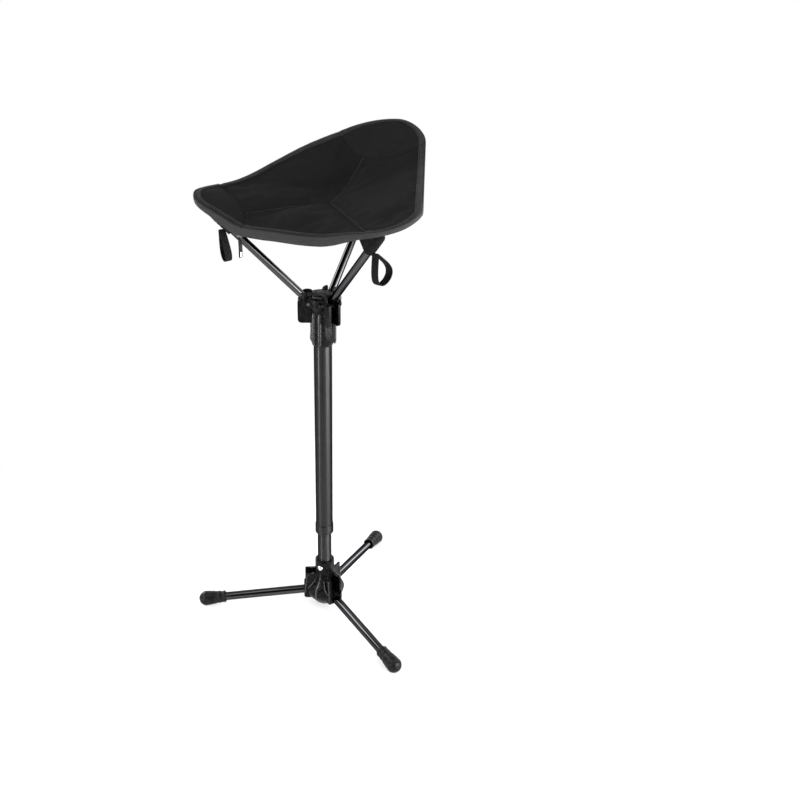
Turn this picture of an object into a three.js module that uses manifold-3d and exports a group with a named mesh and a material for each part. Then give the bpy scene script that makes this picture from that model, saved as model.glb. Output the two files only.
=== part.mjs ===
// A collapsible telescopic stool: a folding tripod carries a two-tube column with a twist lock, and three
// folding arms on top of the column spread a padded triangular fabric seat. Millimetres, +Z up.
// The origin is the centre of the flat underside of the base hub, on the axis of the column.
import * as THREE from "three";
import { mergeVertices } from "three/addons/utils/BufferGeometryUtils.js";
import Module from "manifold-3d";

const wasm = await Module();
wasm.setup();

// Clearances: pieces that are fixed to each other, pieces that turn or slide, and what the cuts overrun.
const fitGap = 0.3;
const runGap = 0.4;
const cutOverrun = 6;
const weld = 0.001;

// Facets round a full turn.
const tubeFacets = 32;
const footFacets = 18;
const smallFacets = 16;
const cornerFacets = 4;

// Base hub.
const standoff = 4.5;
const bowlRadius = 28;
const bowlShares = [[0.42, 0], [0.54, 0.06], [0.67, 0.16], [0.86, 0.3], [1, 0.48], [0.98, 0.63], [0.86, 0.78], [0.65, 0.92]];
const bowlTop = 45;
const collarRadius = 14;
const collarTop = 74.5;
const collarEdge = 1.2;
const baseEarReach = 29;
const baseEarFootReach = 31;
const baseEarWidth = 20;
const baseEarFoot = 11;
const baseEarStep = 30;
const baseEarTop = 52.5;
const baseEarCorner = 4;
const tubeSeatHeight = 8;
const legPivotRadius = 20;
const legPivotHeight = 20.7;
const legPinRadius = 2;
const buttonAzimuth = -120;
const buttonHeight = 64;

// Legs and feet.
const legRadius = 6;
const legWall = 1.1;
const legReach = 158.5;
const legSpigot = 14;
const legShoulder = 9;
const legKnuckleRadius = 6.9;
const legKnuckleLength = 11;
const footBallRadius = 10.9;
const footFlatDepth = 0.4;
const footNeckRadius = 8.8;
const footNeckLength = 29;
const footBore = 24;
const footRibDepth = 0.5;
const footRibPitch = 4.5;
const footBallSteps = 6;

// Column tubes.
const innerTubeRadius = 10;
const innerTubeWall = 1.2;
const innerTubeLength = 380;
const outerTubeRadius = 12.2;
const outerTubeWall = 1;
const shownInnerTube = 46.5;
const columnTurn = -2;

// End bush of the outer tube.
const bushSkirt = 0.6;
const bushSkirtHeight = 14;
const bushFlange = 1.5;
const bushSleeveHeight = 24;

// Twist lock.
const lockPlugLength = 16;
const lockShoulder = 2;
const lockConeFoot = 5;
const lockConeHead = 8;
const lockConeLength = 16;
const lockHeadHeight = 1.5;
const lockHeadRadius = 8.8;
const lockSlit = 3;
const lockRoom = 4;

// Snap button and its leaf spring.
const buttonRadius = 4;
const buttonProud = 1.4;
const buttonDome = 1.6;
const buttonFlangeRadius = 5;
const buttonFlangeHeight = 1.2;
const springWidth = 7;
const springLeaf = 0.5;
const springLength = 26;
const springMouth = 12;

// Top hub.
const hubSocket = 39;
const hubChamfer = 9;
const barrelRadius = 17;
const hubHeadRise = 30.2;
const headRadius = 23;
const headSkirt = 20;
const headFlare = 7;
const headEdge = 2.5;
const armPivotRise = 21;
const armPivotRadius = 18;
const armPinRadius = 2;
const armBossRadius = 4.6;
const armBossWidth = 31;
const armEarReach = 32;
const armEarWidth = 17;
const armEarDrop = 27;
const armEarCorner = 5;
const armTilt = 45;
const armFold = 130;
const capRadius = 14.5;
const capEdge = 3;
const capRise = 5.1;
const capFlat = 7;
const capSpigotRadius = 5;
const capSpigotLength = 8;

// Arms.
const armRadius = 5;
const armWall = 1;
const armSpigot = 14;
const armShoulder = 7;
const armKnuckleRadius = 5.5;
const sideArmLength = 162.6;
const rearArmLength = 229;
const tipWall = 0.8;
const tipBore = 12;
const tipCrown = 3;

// Seat: the corners stand out past the arm tips, and the hem rises and falls round the outline.
const leftOverhang = 24;
const rightOverhang = 51;
const rearOverhang = 31;
const sideCornerRadius = 42;
const rearCornerRadius = 64;
const seatRise = 77;
const seatSpare = 1.1;
const padThickness = 12;
const hemThickness = 7;
const cornerThickness = 4;
const cornerSpread = 24;
const bindingThickness = 1.8;
const bindingLip = 1;
const channelDepth = 2;
const channelEndShare = 0.6;
const padCrown = 2.4;
const padRings = 9;
const arcStations = 9;
const edgeStations = 11;
const hemTurnShares = [0, 30, 45, 60, 90, 120, 150, 170, 180, 190, 200, 210, 240, 270, 285, 298, 308, 330];
const hemRiseShares = [
  0.42, 0.5, 0.74, 0.93, 0.72, 0.49, 0.26, 0.2, 0.18, 0.07, -0.07, -0.18, -0.18, -0.14, 0, 0.15, 0.28, 0.37,
];

// Corner pockets, pull loops and zip.
const pocketGap = 0.5;
const pocketWall = 1.2;
const pocketLength = 38;
const loopWidth = 10;
const loopThickness = 1.4;
const loopDrop = 36;
const loopSpan = 22;
const loopInset = 12;
const loopStations = 26;
const loopFullness = 0.6;
const loopLeans = { left: 0, rear: 0, right: 20 };
const loopDrifts = { left: -6, rear: 0, right: 0 };
const zipAzimuth = 212;
const sliderInset = 4;
const sliderLength = 6;
const sliderWidth = 4.4;
const sliderHeight = 4;
const lugWidth = 1.6;
const lugDepth = 3.4;
const zipPinRadius = 0.7;
const pullLength = 23;
const pullWidth = 5;
const pullThickness = 2;
const pullForkDepth = 3;

const radians = THREE.MathUtils.degToRad;

// Solids

// A three.js geometry as a closed solid, turned the right way out.
function solidOf(geometry) {
  const bare = new THREE.BufferGeometry();
  bare.setAttribute("position", geometry.getAttribute("position").clone());
  if (geometry.index) bare.setIndex(geometry.index.clone());
  const merged = mergeVertices(bare, weld);
  const corners = Uint32Array.from(merged.index.array);
  const build = () =>
    new wasm.Manifold(
      new wasm.Mesh({ numProp: 3, vertProperties: merged.attributes.position.array, triVerts: corners }),
    );
  const solid = build();
  if (solid.volume() > 0) return solid;
  corners.reverse();
  return build();
}

// A solid as a flat-shaded three.js geometry.
function geometryOf(solid) {
  const mesh = solid.getMesh();
  const geometry = new THREE.BufferGeometry();
  geometry.setAttribute("position", new THREE.BufferAttribute(Float32Array.from(mesh.vertProperties), 3));
  geometry.setIndex(new THREE.BufferAttribute(Uint32Array.from(mesh.triVerts), 1));
  const flat = geometry.toNonIndexed();
  flat.computeVertexNormals();
  return flat;
}

// A profile of [radius, height] points turned about Z. It starts and ends on the axis, or closes on itself.
function turned(profile, facets = tubeFacets) {
  const points = profile.map(([radius, height]) => new THREE.Vector2(radius, height));
  return solidOf(new THREE.LatheGeometry(points, facets).rotateX(Math.PI / 2));
}

// A round bar along Z from height low to height high.
function bar(radius, low, high, facets = tubeFacets) {
  const shape = new THREE.CylinderGeometry(radius, radius, high - low, facets).rotateX(Math.PI / 2);
  return solidOf(shape.translate(0, 0, (low + high) / 2));
}

// A round bar along Y, centred on (x, z).
function crossBar(radius, length, x, z, facets = tubeFacets) {
  return solidOf(new THREE.CylinderGeometry(radius, radius, length, facets).translate(x, 0, z));
}

// A pipe along Z.
function pipe(outer, inner, low, high, facets = tubeFacets) {
  return turned([[inner, low], [outer, low], [outer, high], [inner, high], [inner, low]], facets);
}

// A box between two corners.
function block(low, high) {
  const size = high.map((value, axis) => value - low[axis]);
  const middle = high.map((value, axis) => (value + low[axis]) / 2);
  return solidOf(new THREE.BoxGeometry(...size).translate(...middle));
}

// A shape drawn in the X-Z plane, given a width along Y and centred on it.
function plate(shape, width) {
  const flat = new THREE.ExtrudeGeometry(shape, { depth: width, bevelEnabled: false, curveSegments: cornerFacets });
  return solidOf(flat.translate(0, 0, -width / 2).rotateX(Math.PI / 2));
}

// A solid moved by a matrix.
function moved(solid, matrix) {
  return solid.transform(matrix.elements);
}

// A solid turned about Z by an azimuth in degrees.
function atAzimuth(solid, azimuth) {
  return moved(solid, new THREE.Matrix4().makeRotationZ(radians(azimuth)));
}

// The place of a limb in its upright plane: its pivot, and its lean from +Z towards +X in degrees.
function limbPlace(radius, height, lean) {
  const turn = new THREE.Matrix4().makeRotationY(radians(lean));
  return new THREE.Matrix4().makeTranslation(radius, 0, height).multiply(turn);
}

// An upright ear outline in the X-Z plane, with rounded corners on its outer side.
function earShape(inner, reach, low, high, corner) {
  const shape = new THREE.Shape();
  shape.moveTo(inner, low);
  shape.lineTo(reach - corner, low);
  shape.absarc(reach - corner, low + corner, corner, -Math.PI / 2, 0);
  shape.absarc(reach - corner, high - corner, corner, 0, Math.PI / 2);
  shape.lineTo(inner, high);
  shape.closePath();
  return shape;
}

// Materials

const nylon = { color: 0x141415, roughness: 0.42, metalness: 0 };
const blackGloss = { color: 0x0b0b0c, roughness: 0.16, metalness: 0.3 };
const darkSatin = { color: 0x47484b, roughness: 0.36, metalness: 0.85 };
const brightSteel = { color: 0xd6d8da, roughness: 0.2, metalness: 1 };
const darkSteel = { color: 0x55565a, roughness: 0.3, metalness: 1 };
const rubber = { color: 0x161617, roughness: 0.75, metalness: 0 };
const cloth = { color: 0x191a1b, roughness: 0.92, metalness: 0 };
const webbing = { color: 0x121314, roughness: 0.85, metalness: 0 };

const stool = new THREE.Group();

// A named piece in a group.
function piece(name, solid, finish, group = stool) {
  const mesh = new THREE.Mesh(geometryOf(solid), new THREE.MeshStandardMaterial(finish));
  mesh.name = name;
  group.add(mesh);
  return mesh;
}

// Base hub

const legAzimuths = { left: 180, rear: 60, right: -60 };
const legPivotAboveFloor = legPivotHeight + standoff;
const ballAboveFloor = footBallRadius - footFlatDepth;
const legDroop = THREE.MathUtils.radToDeg(Math.asin((legPivotAboveFloor - ballAboveFloor) / legReach));
const legSlot = 2 * (legKnuckleRadius + runGap);
const buttonReach = collarRadius + buttonProud;

// The slot of a leg is open above, below and outside, and its inner end is round about the pivot.
function legSlotCut() {
  const inner = legPivotRadius - legKnuckleRadius - runGap;
  const droop = radians(legDroop);
  const fall = (baseEarFootReach - legPivotRadius) * Math.tan(droop);
  const below = legPivotHeight - legKnuckleRadius / Math.cos(droop) - fall - runGap;
  const tall = block(
    [inner, -legSlot / 2, legPivotHeight],
    [baseEarFootReach + cutOverrun, legSlot / 2, baseEarTop + cutOverrun],
  );
  const low = block([legPivotRadius, -legSlot / 2, below], [baseEarFootReach + cutOverrun, legSlot / 2, baseEarTop]);
  const round = crossBar(legKnuckleRadius + runGap, legSlot, legPivotRadius, legPivotHeight);
  return tall.add(low).add(round);
}

function baseHub() {
  const body = turned([
    [0, 0],
    ...bowlShares.map(([across, up]) => [bowlRadius * across, bowlTop * up]),
    [collarRadius, bowlTop],
    [collarRadius, collarTop - collarEdge],
    [collarRadius - collarEdge, collarTop],
    [0, collarTop],
  ]);
  const outline = earShape(0, baseEarFootReach, baseEarFoot, baseEarTop, baseEarCorner);
  const step = block([baseEarReach, -baseEarWidth, baseEarStep], [bowlRadius * 2, baseEarWidth, collarTop]);
  const ear = plate(outline, baseEarWidth);
  const pinHole = crossBar(
    legPinRadius + fitGap,
    baseEarWidth + cutOverrun,
    legPivotRadius,
    legPivotHeight,
    smallFacets,
  );
  const cut = legSlotCut().add(pinHole);
  let hub = body;
  for (const azimuth of Object.values(legAzimuths)) hub = hub.add(atAzimuth(ear.subtract(step), azimuth));
  for (const azimuth of Object.values(legAzimuths)) hub = hub.subtract(atAzimuth(cut, azimuth));
  const bore = bar(innerTubeRadius + fitGap, tubeSeatHeight - fitGap, collarTop + cutOverrun);
  return hub.subtract(bore).subtract(buttonHole(collarRadius + cutOverrun));
}

// A round hole from the axis outwards, through which the snap button comes.
function buttonHole(reach) {
  const hole = bar(buttonRadius + runGap, 0, reach, smallFacets * 2);
  return moved(hole, buttonPlace());
}

// The place of the button: its own Z axis points outwards from the column.
function buttonPlace() {
  const out = new THREE.Matrix4().makeRotationY(Math.PI / 2);
  const turn = new THREE.Matrix4().makeRotationZ(radians(buttonAzimuth));
  return new THREE.Matrix4().makeTranslation(0, 0, buttonHeight).multiply(turn).multiply(out);
}

piece("base_hub", baseHub(), nylon);

for (const [side, azimuth] of Object.entries(legAzimuths)) {
  const pin = crossBar(legPinRadius, baseEarWidth, legPivotRadius, legPivotHeight, smallFacets);
  piece("leg_pin_" + side, atAzimuth(pin, azimuth), darkSteel);
}

// Inner column tube, snap button and spring

const innerBore = innerTubeRadius - innerTubeWall;
const innerTubeTop = tubeSeatHeight + innerTubeLength;
const innerTube = pipe(innerTubeRadius, innerBore, tubeSeatHeight, innerTubeTop);
piece("inner_tube", innerTube.subtract(buttonHole(innerTubeRadius + cutOverrun)), blackGloss);

// The button's flange bears on the inside of the tube, a gap short of its curve.
const flangeTop = Math.sqrt((innerBore - runGap) ** 2 - buttonFlangeRadius ** 2);
const flangeFoot = flangeTop - buttonFlangeHeight;
const button = turned(
  [
    [0, flangeFoot],
    [buttonFlangeRadius, flangeFoot],
    [buttonFlangeRadius, flangeTop],
    [buttonRadius, flangeTop],
    [buttonRadius, buttonReach - buttonDome],
    [(buttonRadius * 3) / 4, buttonReach - buttonDome / 3],
    [buttonRadius / 3, buttonReach],
    [0, buttonReach],
  ],
  smallFacets * 2,
);
piece("snap_button", moved(button, buttonPlace()), brightSteel);

// A leaf bent into a V: one leg lies on the far wall of the tube, and the other carries the button.
function snapSpring() {
  const front = flangeFoot - fitGap;
  const back = -Math.sqrt((innerBore - fitGap) ** 2 - (springWidth / 2) ** 2);
  const shape = new THREE.Shape();
  shape.moveTo(back, -springLength);
  shape.lineTo(back, springMouth);
  shape.lineTo(back + springLeaf, springMouth);
  shape.lineTo(back + springLeaf, springLeaf - springLength);
  shape.lineTo(front - springLeaf, -springMouth / 2);
  shape.lineTo(front - springLeaf, springMouth);
  shape.lineTo(front, springMouth);
  shape.lineTo(front, -springMouth / 2);
  shape.lineTo(back + springLeaf, -springLength);
  shape.closePath();
  const turn = new THREE.Matrix4().makeRotationZ(radians(buttonAzimuth));
  const place = new THREE.Matrix4().makeTranslation(0, 0, buttonHeight).multiply(turn);
  return moved(plate(shape, springWidth), place);
}
piece("snap_spring", snapSpring(), brightSteel);

// Legs

const legPlace = limbPlace(legPivotRadius, legPivotHeight, 90 + legDroop);

// The end plug of a tube: a round boss about the pin, a cup whose rim stands round the tube's end, and a spigot.
function knuckle({ cup, cupLength, tube, bore, shoulder, spigot, pinRadius, boss }) {
  const body = bar(cup, 0, cupLength).subtract(bar(tube + fitGap, shoulder, cupLength + cutOverrun));
  const round = crossBar(boss, 2 * cup, 0, 0);
  const plug = bar(bore - fitGap, shoulder, shoulder + spigot);
  const hole = crossBar(pinRadius + runGap, 2 * cup + cutOverrun, 0, 0, smallFacets);
  return body.add(round).add(plug).subtract(hole);
}

// A rubber foot: a ribbed neck round the tube's end, swelling into a ball that is cut flat on the floor.
function foot() {
  const start = legReach - footNeckLength;
  const boreEnd = start + footBore;
  const bore = legRadius + fitGap;
  const profile = [
    [0, boreEnd],
    [bore, boreEnd],
    [bore, start],
    [footNeckRadius, start],
  ];
  for (let along = footRibPitch; along < footNeckLength - footBallRadius; along += footRibPitch) {
    profile.push([footNeckRadius, start + along - footRibPitch / 2]);
    profile.push([footNeckRadius - footRibDepth, start + along - footRibPitch / 4]);
    profile.push([footNeckRadius, start + along]);
  }
  const neckTurn = Math.asin(footNeckRadius / footBallRadius);
  for (let step = 0; step <= footBallSteps; step += 1) {
    const turn = (Math.PI - neckTurn) * (1 - step / footBallSteps);
    const radius = step === footBallSteps ? 0 : footBallRadius * Math.sin(turn);
    profile.push([radius, legReach + footBallRadius * Math.cos(turn)]);
  }
  const span = legReach + footBallRadius + cutOverrun;
  const floor = block([0, -span, -standoff - cutOverrun], [legPivotRadius + span, span, -standoff]);
  return turned(profile, footFacets).subtract(moved(floor, legPlace.clone().invert()));
}

const legBore = legRadius - legWall;
const legTubeEnd = legReach - footNeckLength + footBore - fitGap;
const legKnuckle = knuckle({
  cup: legKnuckleRadius,
  cupLength: legKnuckleLength,
  tube: legRadius,
  bore: legBore,
  shoulder: legShoulder,
  spigot: legSpigot,
  pinRadius: legPinRadius,
  boss: legKnuckleRadius,
});
const legParts = {
  leg_knuckle_: [legKnuckle, nylon],
  leg_tube_: [pipe(legRadius, legBore, legShoulder + fitGap, legTubeEnd), blackGloss],
  foot_: [foot(), rubber],
};
for (const [side, azimuth] of Object.entries(legAzimuths)) {
  for (const [name, [solid, finish]] of Object.entries(legParts)) {
    piece(name + side, atAzimuth(moved(solid, legPlace), azimuth), finish);
  }
}

// Twist lock

const lockFoot = innerTubeTop + fitGap;
const coneFoot = lockFoot + lockShoulder;
const coneHead = coneFoot + lockConeLength;
const lockTop = coneHead + lockHeadHeight;
const lockCone = turned([
  [0, innerTubeTop - lockPlugLength],
  [innerBore - fitGap, innerTubeTop - lockPlugLength],
  [innerBore - fitGap, lockFoot],
  [innerTubeRadius, lockFoot],
  [innerTubeRadius, coneFoot],
  [lockConeFoot, coneFoot],
  [lockConeHead, coneHead],
  [lockHeadRadius, coneHead],
  [lockHeadRadius, lockTop],
  [0, lockTop],
]);
piece("lock_cone", lockCone, nylon);

const outerBore = outerTubeRadius - outerTubeWall;
function lockSleeve() {
  const ring = turned([
    [lockConeFoot + runGap, coneFoot + fitGap],
    [outerBore - fitGap, coneFoot + fitGap],
    [outerBore - fitGap, coneHead - fitGap],
    [lockConeHead + runGap, coneHead - fitGap],
    [lockConeFoot + runGap, coneFoot + fitGap],
  ]);
  const slit = block([0, -lockSlit / 2, coneFoot], [outerTubeRadius, lockSlit / 2, coneHead]);
  return ring.subtract(slit);
}
piece("lock_sleeve", lockSleeve(), nylon);

// Outer column

const column = new THREE.Group();
column.rotation.z = radians(columnTurn);
stool.add(column);

// With the column as shown, the lock's head ends a little under the top hub, so the outer tube's top follows it.
const bushFoot = collarTop + shownInnerTube;
const outerFoot = bushFoot + bushFlange + fitGap;
const outerTop = lockTop + lockRoom + hubSocket;
piece("outer_tube", pipe(outerTubeRadius, outerBore, outerFoot, outerTop), darkSatin, column);

// The bush caps the tube's end: a thin skirt outside, a flange under it, and a guide sleeve inside.
const skirtBore = outerTubeRadius + fitGap;
const skirtRadius = skirtBore + bushSkirt;
const endBush = turned([
  [innerTubeRadius + fitGap, bushFoot],
  [skirtRadius - bushFlange / 2, bushFoot],
  [skirtRadius, bushFoot + bushFlange / 2],
  [skirtRadius, bushFoot + bushSkirtHeight],
  [skirtBore, bushFoot + bushSkirtHeight],
  [skirtBore, bushFoot + bushFlange],
  [outerBore - fitGap, bushFoot + bushFlange],
  [outerBore - fitGap, bushFoot + bushSleeveHeight],
  [innerTubeRadius + fitGap, bushFoot + bushSleeveHeight],
  [innerTubeRadius + fitGap, bushFoot],
]);
piece("end_bush", endBush, darkSatin, column);

// Top hub

const armAzimuths = { left: 180, rear: 60, right: -60 };
const armSlot = 2 * (armRadius + runGap);
const armPivotHeight = outerTop + armPivotRise;
const hubFoot = outerTop - hubSocket;
const headTop = outerTop + hubHeadRise;
const coreTop = armPivotHeight + armKnuckleRadius + fitGap;
const coreRadius = armPivotRadius - armKnuckleRadius - runGap;

// An arm's slot: round about the pivot, open above and outside, with a channel for the folded arm.
function armSlotCut() {
  const earFoot = armPivotHeight - armEarDrop;
  const round = crossBar(armKnuckleRadius + runGap, armSlot, armPivotRadius, armPivotHeight);
  const top = block(
    [coreRadius, -armSlot / 2, armPivotHeight],
    [armEarReach + cutOverrun, armSlot / 2, coreTop + cutOverrun],
  );
  const front = block(
    [armPivotRadius, -armSlot / 2, earFoot - cutOverrun],
    [armEarReach + cutOverrun, armSlot / 2, coreTop + cutOverrun],
  );
  const channel = block(
    [-armRadius - runGap, -armSlot / 2, 0],
    [armRadius + runGap, armSlot / 2, hubSocket + armPivotRise + cutOverrun],
  );
  const folded = moved(channel, limbPlace(armPivotRadius, armPivotHeight, armTilt + armFold));
  return round.add(top).add(front).add(folded);
}

// A barrel round the tube's end, flared to a broad head, with three slotted ears and a boss at each pin's ends.
function topHub() {
  const body = turned([
    [0, hubFoot],
    [outerTubeRadius + 1.5 * bushSkirt, hubFoot],
    [barrelRadius, hubFoot + hubChamfer],
    [barrelRadius, headTop - headSkirt],
    [headRadius, headTop - headSkirt + headFlare],
    [headRadius, headTop - headEdge],
    [headRadius - headEdge, headTop],
    [capRadius + fitGap, headTop],
    [capRadius + fitGap, coreTop],
    [0, coreTop],
  ]);
  const outline = earShape(
    0,
    armEarReach,
    armPivotHeight - armEarDrop,
    armPivotHeight + armKnuckleRadius - fitGap,
    armEarCorner,
  );
  const boss = crossBar(armBossRadius, armBossWidth, armPivotRadius, armPivotHeight, smallFacets * 2);
  const ear = plate(outline, armEarWidth).add(boss);
  const pinHole = crossBar(
    armPinRadius + fitGap,
    armBossWidth + cutOverrun,
    armPivotRadius,
    armPivotHeight,
    smallFacets,
  );
  const cut = armSlotCut().add(pinHole);
  let hub = body;
  for (const azimuth of Object.values(armAzimuths)) hub = hub.add(atAzimuth(ear, azimuth));
  for (const azimuth of Object.values(armAzimuths)) hub = hub.subtract(atAzimuth(cut, azimuth));
  const socket = bar(outerTubeRadius + fitGap, hubFoot - cutOverrun, outerTop + fitGap);
  const spigotHole = bar(capSpigotRadius + fitGap, coreTop - capSpigotLength - fitGap, coreTop + cutOverrun);
  return hub.subtract(socket).subtract(spigotHole);
}
piece("top_hub", topHub(), nylon, column);

const capFoot = coreTop + fitGap;
const topCap = turned([
  [0, coreTop - capSpigotLength],
  [capSpigotRadius, coreTop - capSpigotLength],
  [capSpigotRadius, capFoot],
  [capRadius, capFoot],
  [capRadius, capFoot + capEdge],
  [(capRadius + capFlat) / 2 + capEdge / 2, capFoot + (capEdge + capRise) / 2 + capEdge / 3],
  [capFlat, capFoot + capRise],
  [0, capFoot + capRise],
]);
piece("top_hub_cap", topCap, nylon, column);

for (const [side, azimuth] of Object.entries(armAzimuths)) {
  const pin = crossBar(armPinRadius, armBossWidth, armPivotRadius, armPivotHeight, smallFacets);
  piece("arm_pin_" + side, atAzimuth(pin, azimuth), darkSteel, column);
}

// Arms

const armPlace = limbPlace(armPivotRadius, armPivotHeight, armTilt);
const armBore = armRadius - armWall;
const armLengths = { left: sideArmLength, rear: rearArmLength, right: sideArmLength };
const tipRadius = armRadius + fitGap + tipWall;

// A cap on the end of an arm, with a crowned end.
function armTip(length) {
  const boreEnd = length - tipCrown;
  const mouth = boreEnd - tipBore;
  return turned([
    [0, boreEnd],
    [armRadius + fitGap, boreEnd],
    [armRadius + fitGap, mouth],
    [tipRadius, mouth],
    [tipRadius, length - tipCrown / 2],
    [(tipRadius * 3) / 4, length - tipCrown / 8],
    [tipRadius / 3, length],
    [0, length],
  ]);
}

const armKnuckle = knuckle({
  cup: armRadius,
  cupLength: armShoulder,
  tube: armRadius,
  bore: armBore,
  shoulder: armShoulder,
  spigot: armSpigot,
  pinRadius: armPinRadius,
  boss: armKnuckleRadius,
});
for (const [side, azimuth] of Object.entries(armAzimuths)) {
  const length = armLengths[side];
  const parts = {
    arm_knuckle_: [armKnuckle, nylon],
    arm_tube_: [pipe(armRadius, armBore, armShoulder + fitGap, length - tipCrown - fitGap), blackGloss],
    arm_tip_: [armTip(length), rubber],
  };
  for (const [name, [solid, finish]] of Object.entries(parts)) {
    piece(name + side, atAzimuth(moved(solid, armPlace), azimuth), finish, column);
  }
}

// Seat outline

const tilt = radians(armTilt);
const pocketOuter = tipRadius + pocketGap + pocketWall;
const overhangs = { left: leftOverhang, rear: rearOverhang, right: rightOverhang };
const corners = Object.entries(armAzimuths).map(([side, azimuth]) => {
  const length = armLengths[side];
  const radius = side === "rear" ? rearCornerRadius : sideCornerRadius;
  const tipAt = armPivotRadius + length * Math.sin(tilt);
  const reach = tipAt + overhangs[side];
  const direction = new THREE.Vector2(Math.cos(radians(azimuth)), Math.sin(radians(azimuth)));
  const centre = direction.clone().multiplyScalar(reach - radius);
  const tipHeight = armPivotHeight + length * Math.cos(tilt);
  return { side, azimuth, length, radius, tipAt, reach, direction, centre, tipHeight };
});

// The corners in the order of a counterclockwise walk: rear, left, right.
const walk = ["rear", "left", "right"].map((side) => corners.find((corner) => corner.side === side));

// The direction of the outward normal of the edge that runs from one corner's arc to the next one's.
function edgeNormal(from, to) {
  const gap = to.centre.clone().sub(from.centre);
  return gap.angle() - Math.acos((from.radius - to.radius) / gap.length());
}

// Stations round the outline, each with its place and its outward direction.
function outlineStations() {
  const stations = [];
  walk.forEach((corner, index) => {
    const before = walk[(index + walk.length - 1) % walk.length];
    const after = walk[(index + 1) % walk.length];
    const start = edgeNormal(before, corner);
    const stop = edgeNormal(corner, after);
    const sweep = (stop - start + 4 * Math.PI) % (2 * Math.PI);
    for (let step = 0; step < arcStations; step += 1) {
      const turn = start + (sweep * step) / (arcStations - 1);
      const out = new THREE.Vector2(Math.cos(turn), Math.sin(turn));
      stations.push({ place: corner.centre.clone().addScaledVector(out, corner.radius), out });
    }
    const out = new THREE.Vector2(Math.cos(stop), Math.sin(stop));
    const first = corner.centre.clone().addScaledVector(out, corner.radius);
    const last = after.centre.clone().addScaledVector(out, after.radius);
    for (let step = 1; step < edgeStations; step += 1) {
      stations.push({ place: first.clone().lerp(last, step / edgeStations), out: out.clone() });
    }
  });
  return stations;
}

// The share of the seat's rise that the hem has at an azimuth: a smooth closed curve through the table.
function hemShare(azimuth) {
  const turn = ((azimuth % 360) + 360) % 360;
  const count = hemTurnShares.length;
  let index = count - 1;
  while (index > 0 && hemTurnShares[index] > turn) index -= 1;
  const at = (offset) => {
    const place = index + offset;
    const wrap = Math.floor(place / count);
    const slot = place - wrap * count;
    return [hemTurnShares[slot] + 360 * wrap, hemRiseShares[slot]];
  };
  const [p, q, r, s] = [at(-1), at(0), at(1), at(2)];
  const span = r[0] - q[0];
  const t = (turn - q[0]) / span;
  const slopeIn = ((r[1] - p[1]) / (r[0] - p[0])) * span;
  const slopeOut = ((s[1] - q[1]) / (s[0] - q[0])) * span;
  const t2 = t * t;
  const t3 = t2 * t;
  return (
    (2 * t3 - 3 * t2 + 1) * q[1] + (t3 - 2 * t2 + t) * slopeIn + (3 * t2 - 2 * t3) * r[1] + (t3 - t2) * slopeOut
  );
}

// The middle of the seat is as low as its cloth can lie and still clear every pocket under its corner.
const seatCentre =
  seatSpare +
  Math.max(
    ...corners.map((corner) => {
      const share = corner.tipAt / corner.reach;
      const top = corner.tipHeight + pocketOuter / Math.sin(tilt);
      return top + fitGap + cornerThickness - hemShare(corner.azimuth) * seatRise * share ** 2;
    }),
  );

function smooth(low, high, value) {
  const t = Math.min(Math.max((value - low) / (high - low), 0), 1);
  return t * t * (3 - 2 * t);
}

// How much a direction points at a corner, from 0 to 1.
function cornerNearness(azimuth) {
  return Math.max(
    ...corners.map((corner) => {
      const off = ((azimuth - corner.azimuth + 540) % 360) - 180;
      return 1 - smooth(cornerSpread / 3, cornerSpread, Math.abs(off));
    }),
  );
}

const cornerStartShare = 0.55;
const cornerEndShare = 0.75;
const stations = outlineStations().map(({ place, out }) => {
  const azimuth = THREE.MathUtils.radToDeg(Math.atan2(place.y, place.x));
  const inset = place.clone().addScaledVector(out, -bindingThickness - fitGap);
  return { place, out, inset, rise: hemShare(azimuth) * seatRise, nearness: cornerNearness(azimuth) };
});

// The height of the seat's plain top at a share of the way from its middle to the hem.
function seatTop(station, share) {
  return seatCentre + station.rise * share ** 2;
}

// The stations nearest to the corners: sewn channels run to them from the middle.
const channels = corners.map((corner) => {
  const turns = stations.map((station) => station.place.clone().normalize().dot(corner.direction));
  return stations[turns.indexOf(Math.max(...turns))];
});

// What the padding adds to the plain top: three crowned panels between the sewn channels.
function padSwell(station, share) {
  if (channels.includes(station) && share < channelEndShare) return -channelDepth;
  return padCrown * Math.sin(Math.PI * share) - channelDepth * Math.max(0, 1 - share * padRings);
}

// The pad is thick in the middle, thinner at the hem and thinnest over the corner pockets.
function seatThickness(station, share) {
  const plain = THREE.MathUtils.lerp(padThickness, hemThickness, share ** 6);
  return THREE.MathUtils.lerp(plain, cornerThickness, station.nearness * smooth(cornerStartShare, cornerEndShare, share));
}

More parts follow.
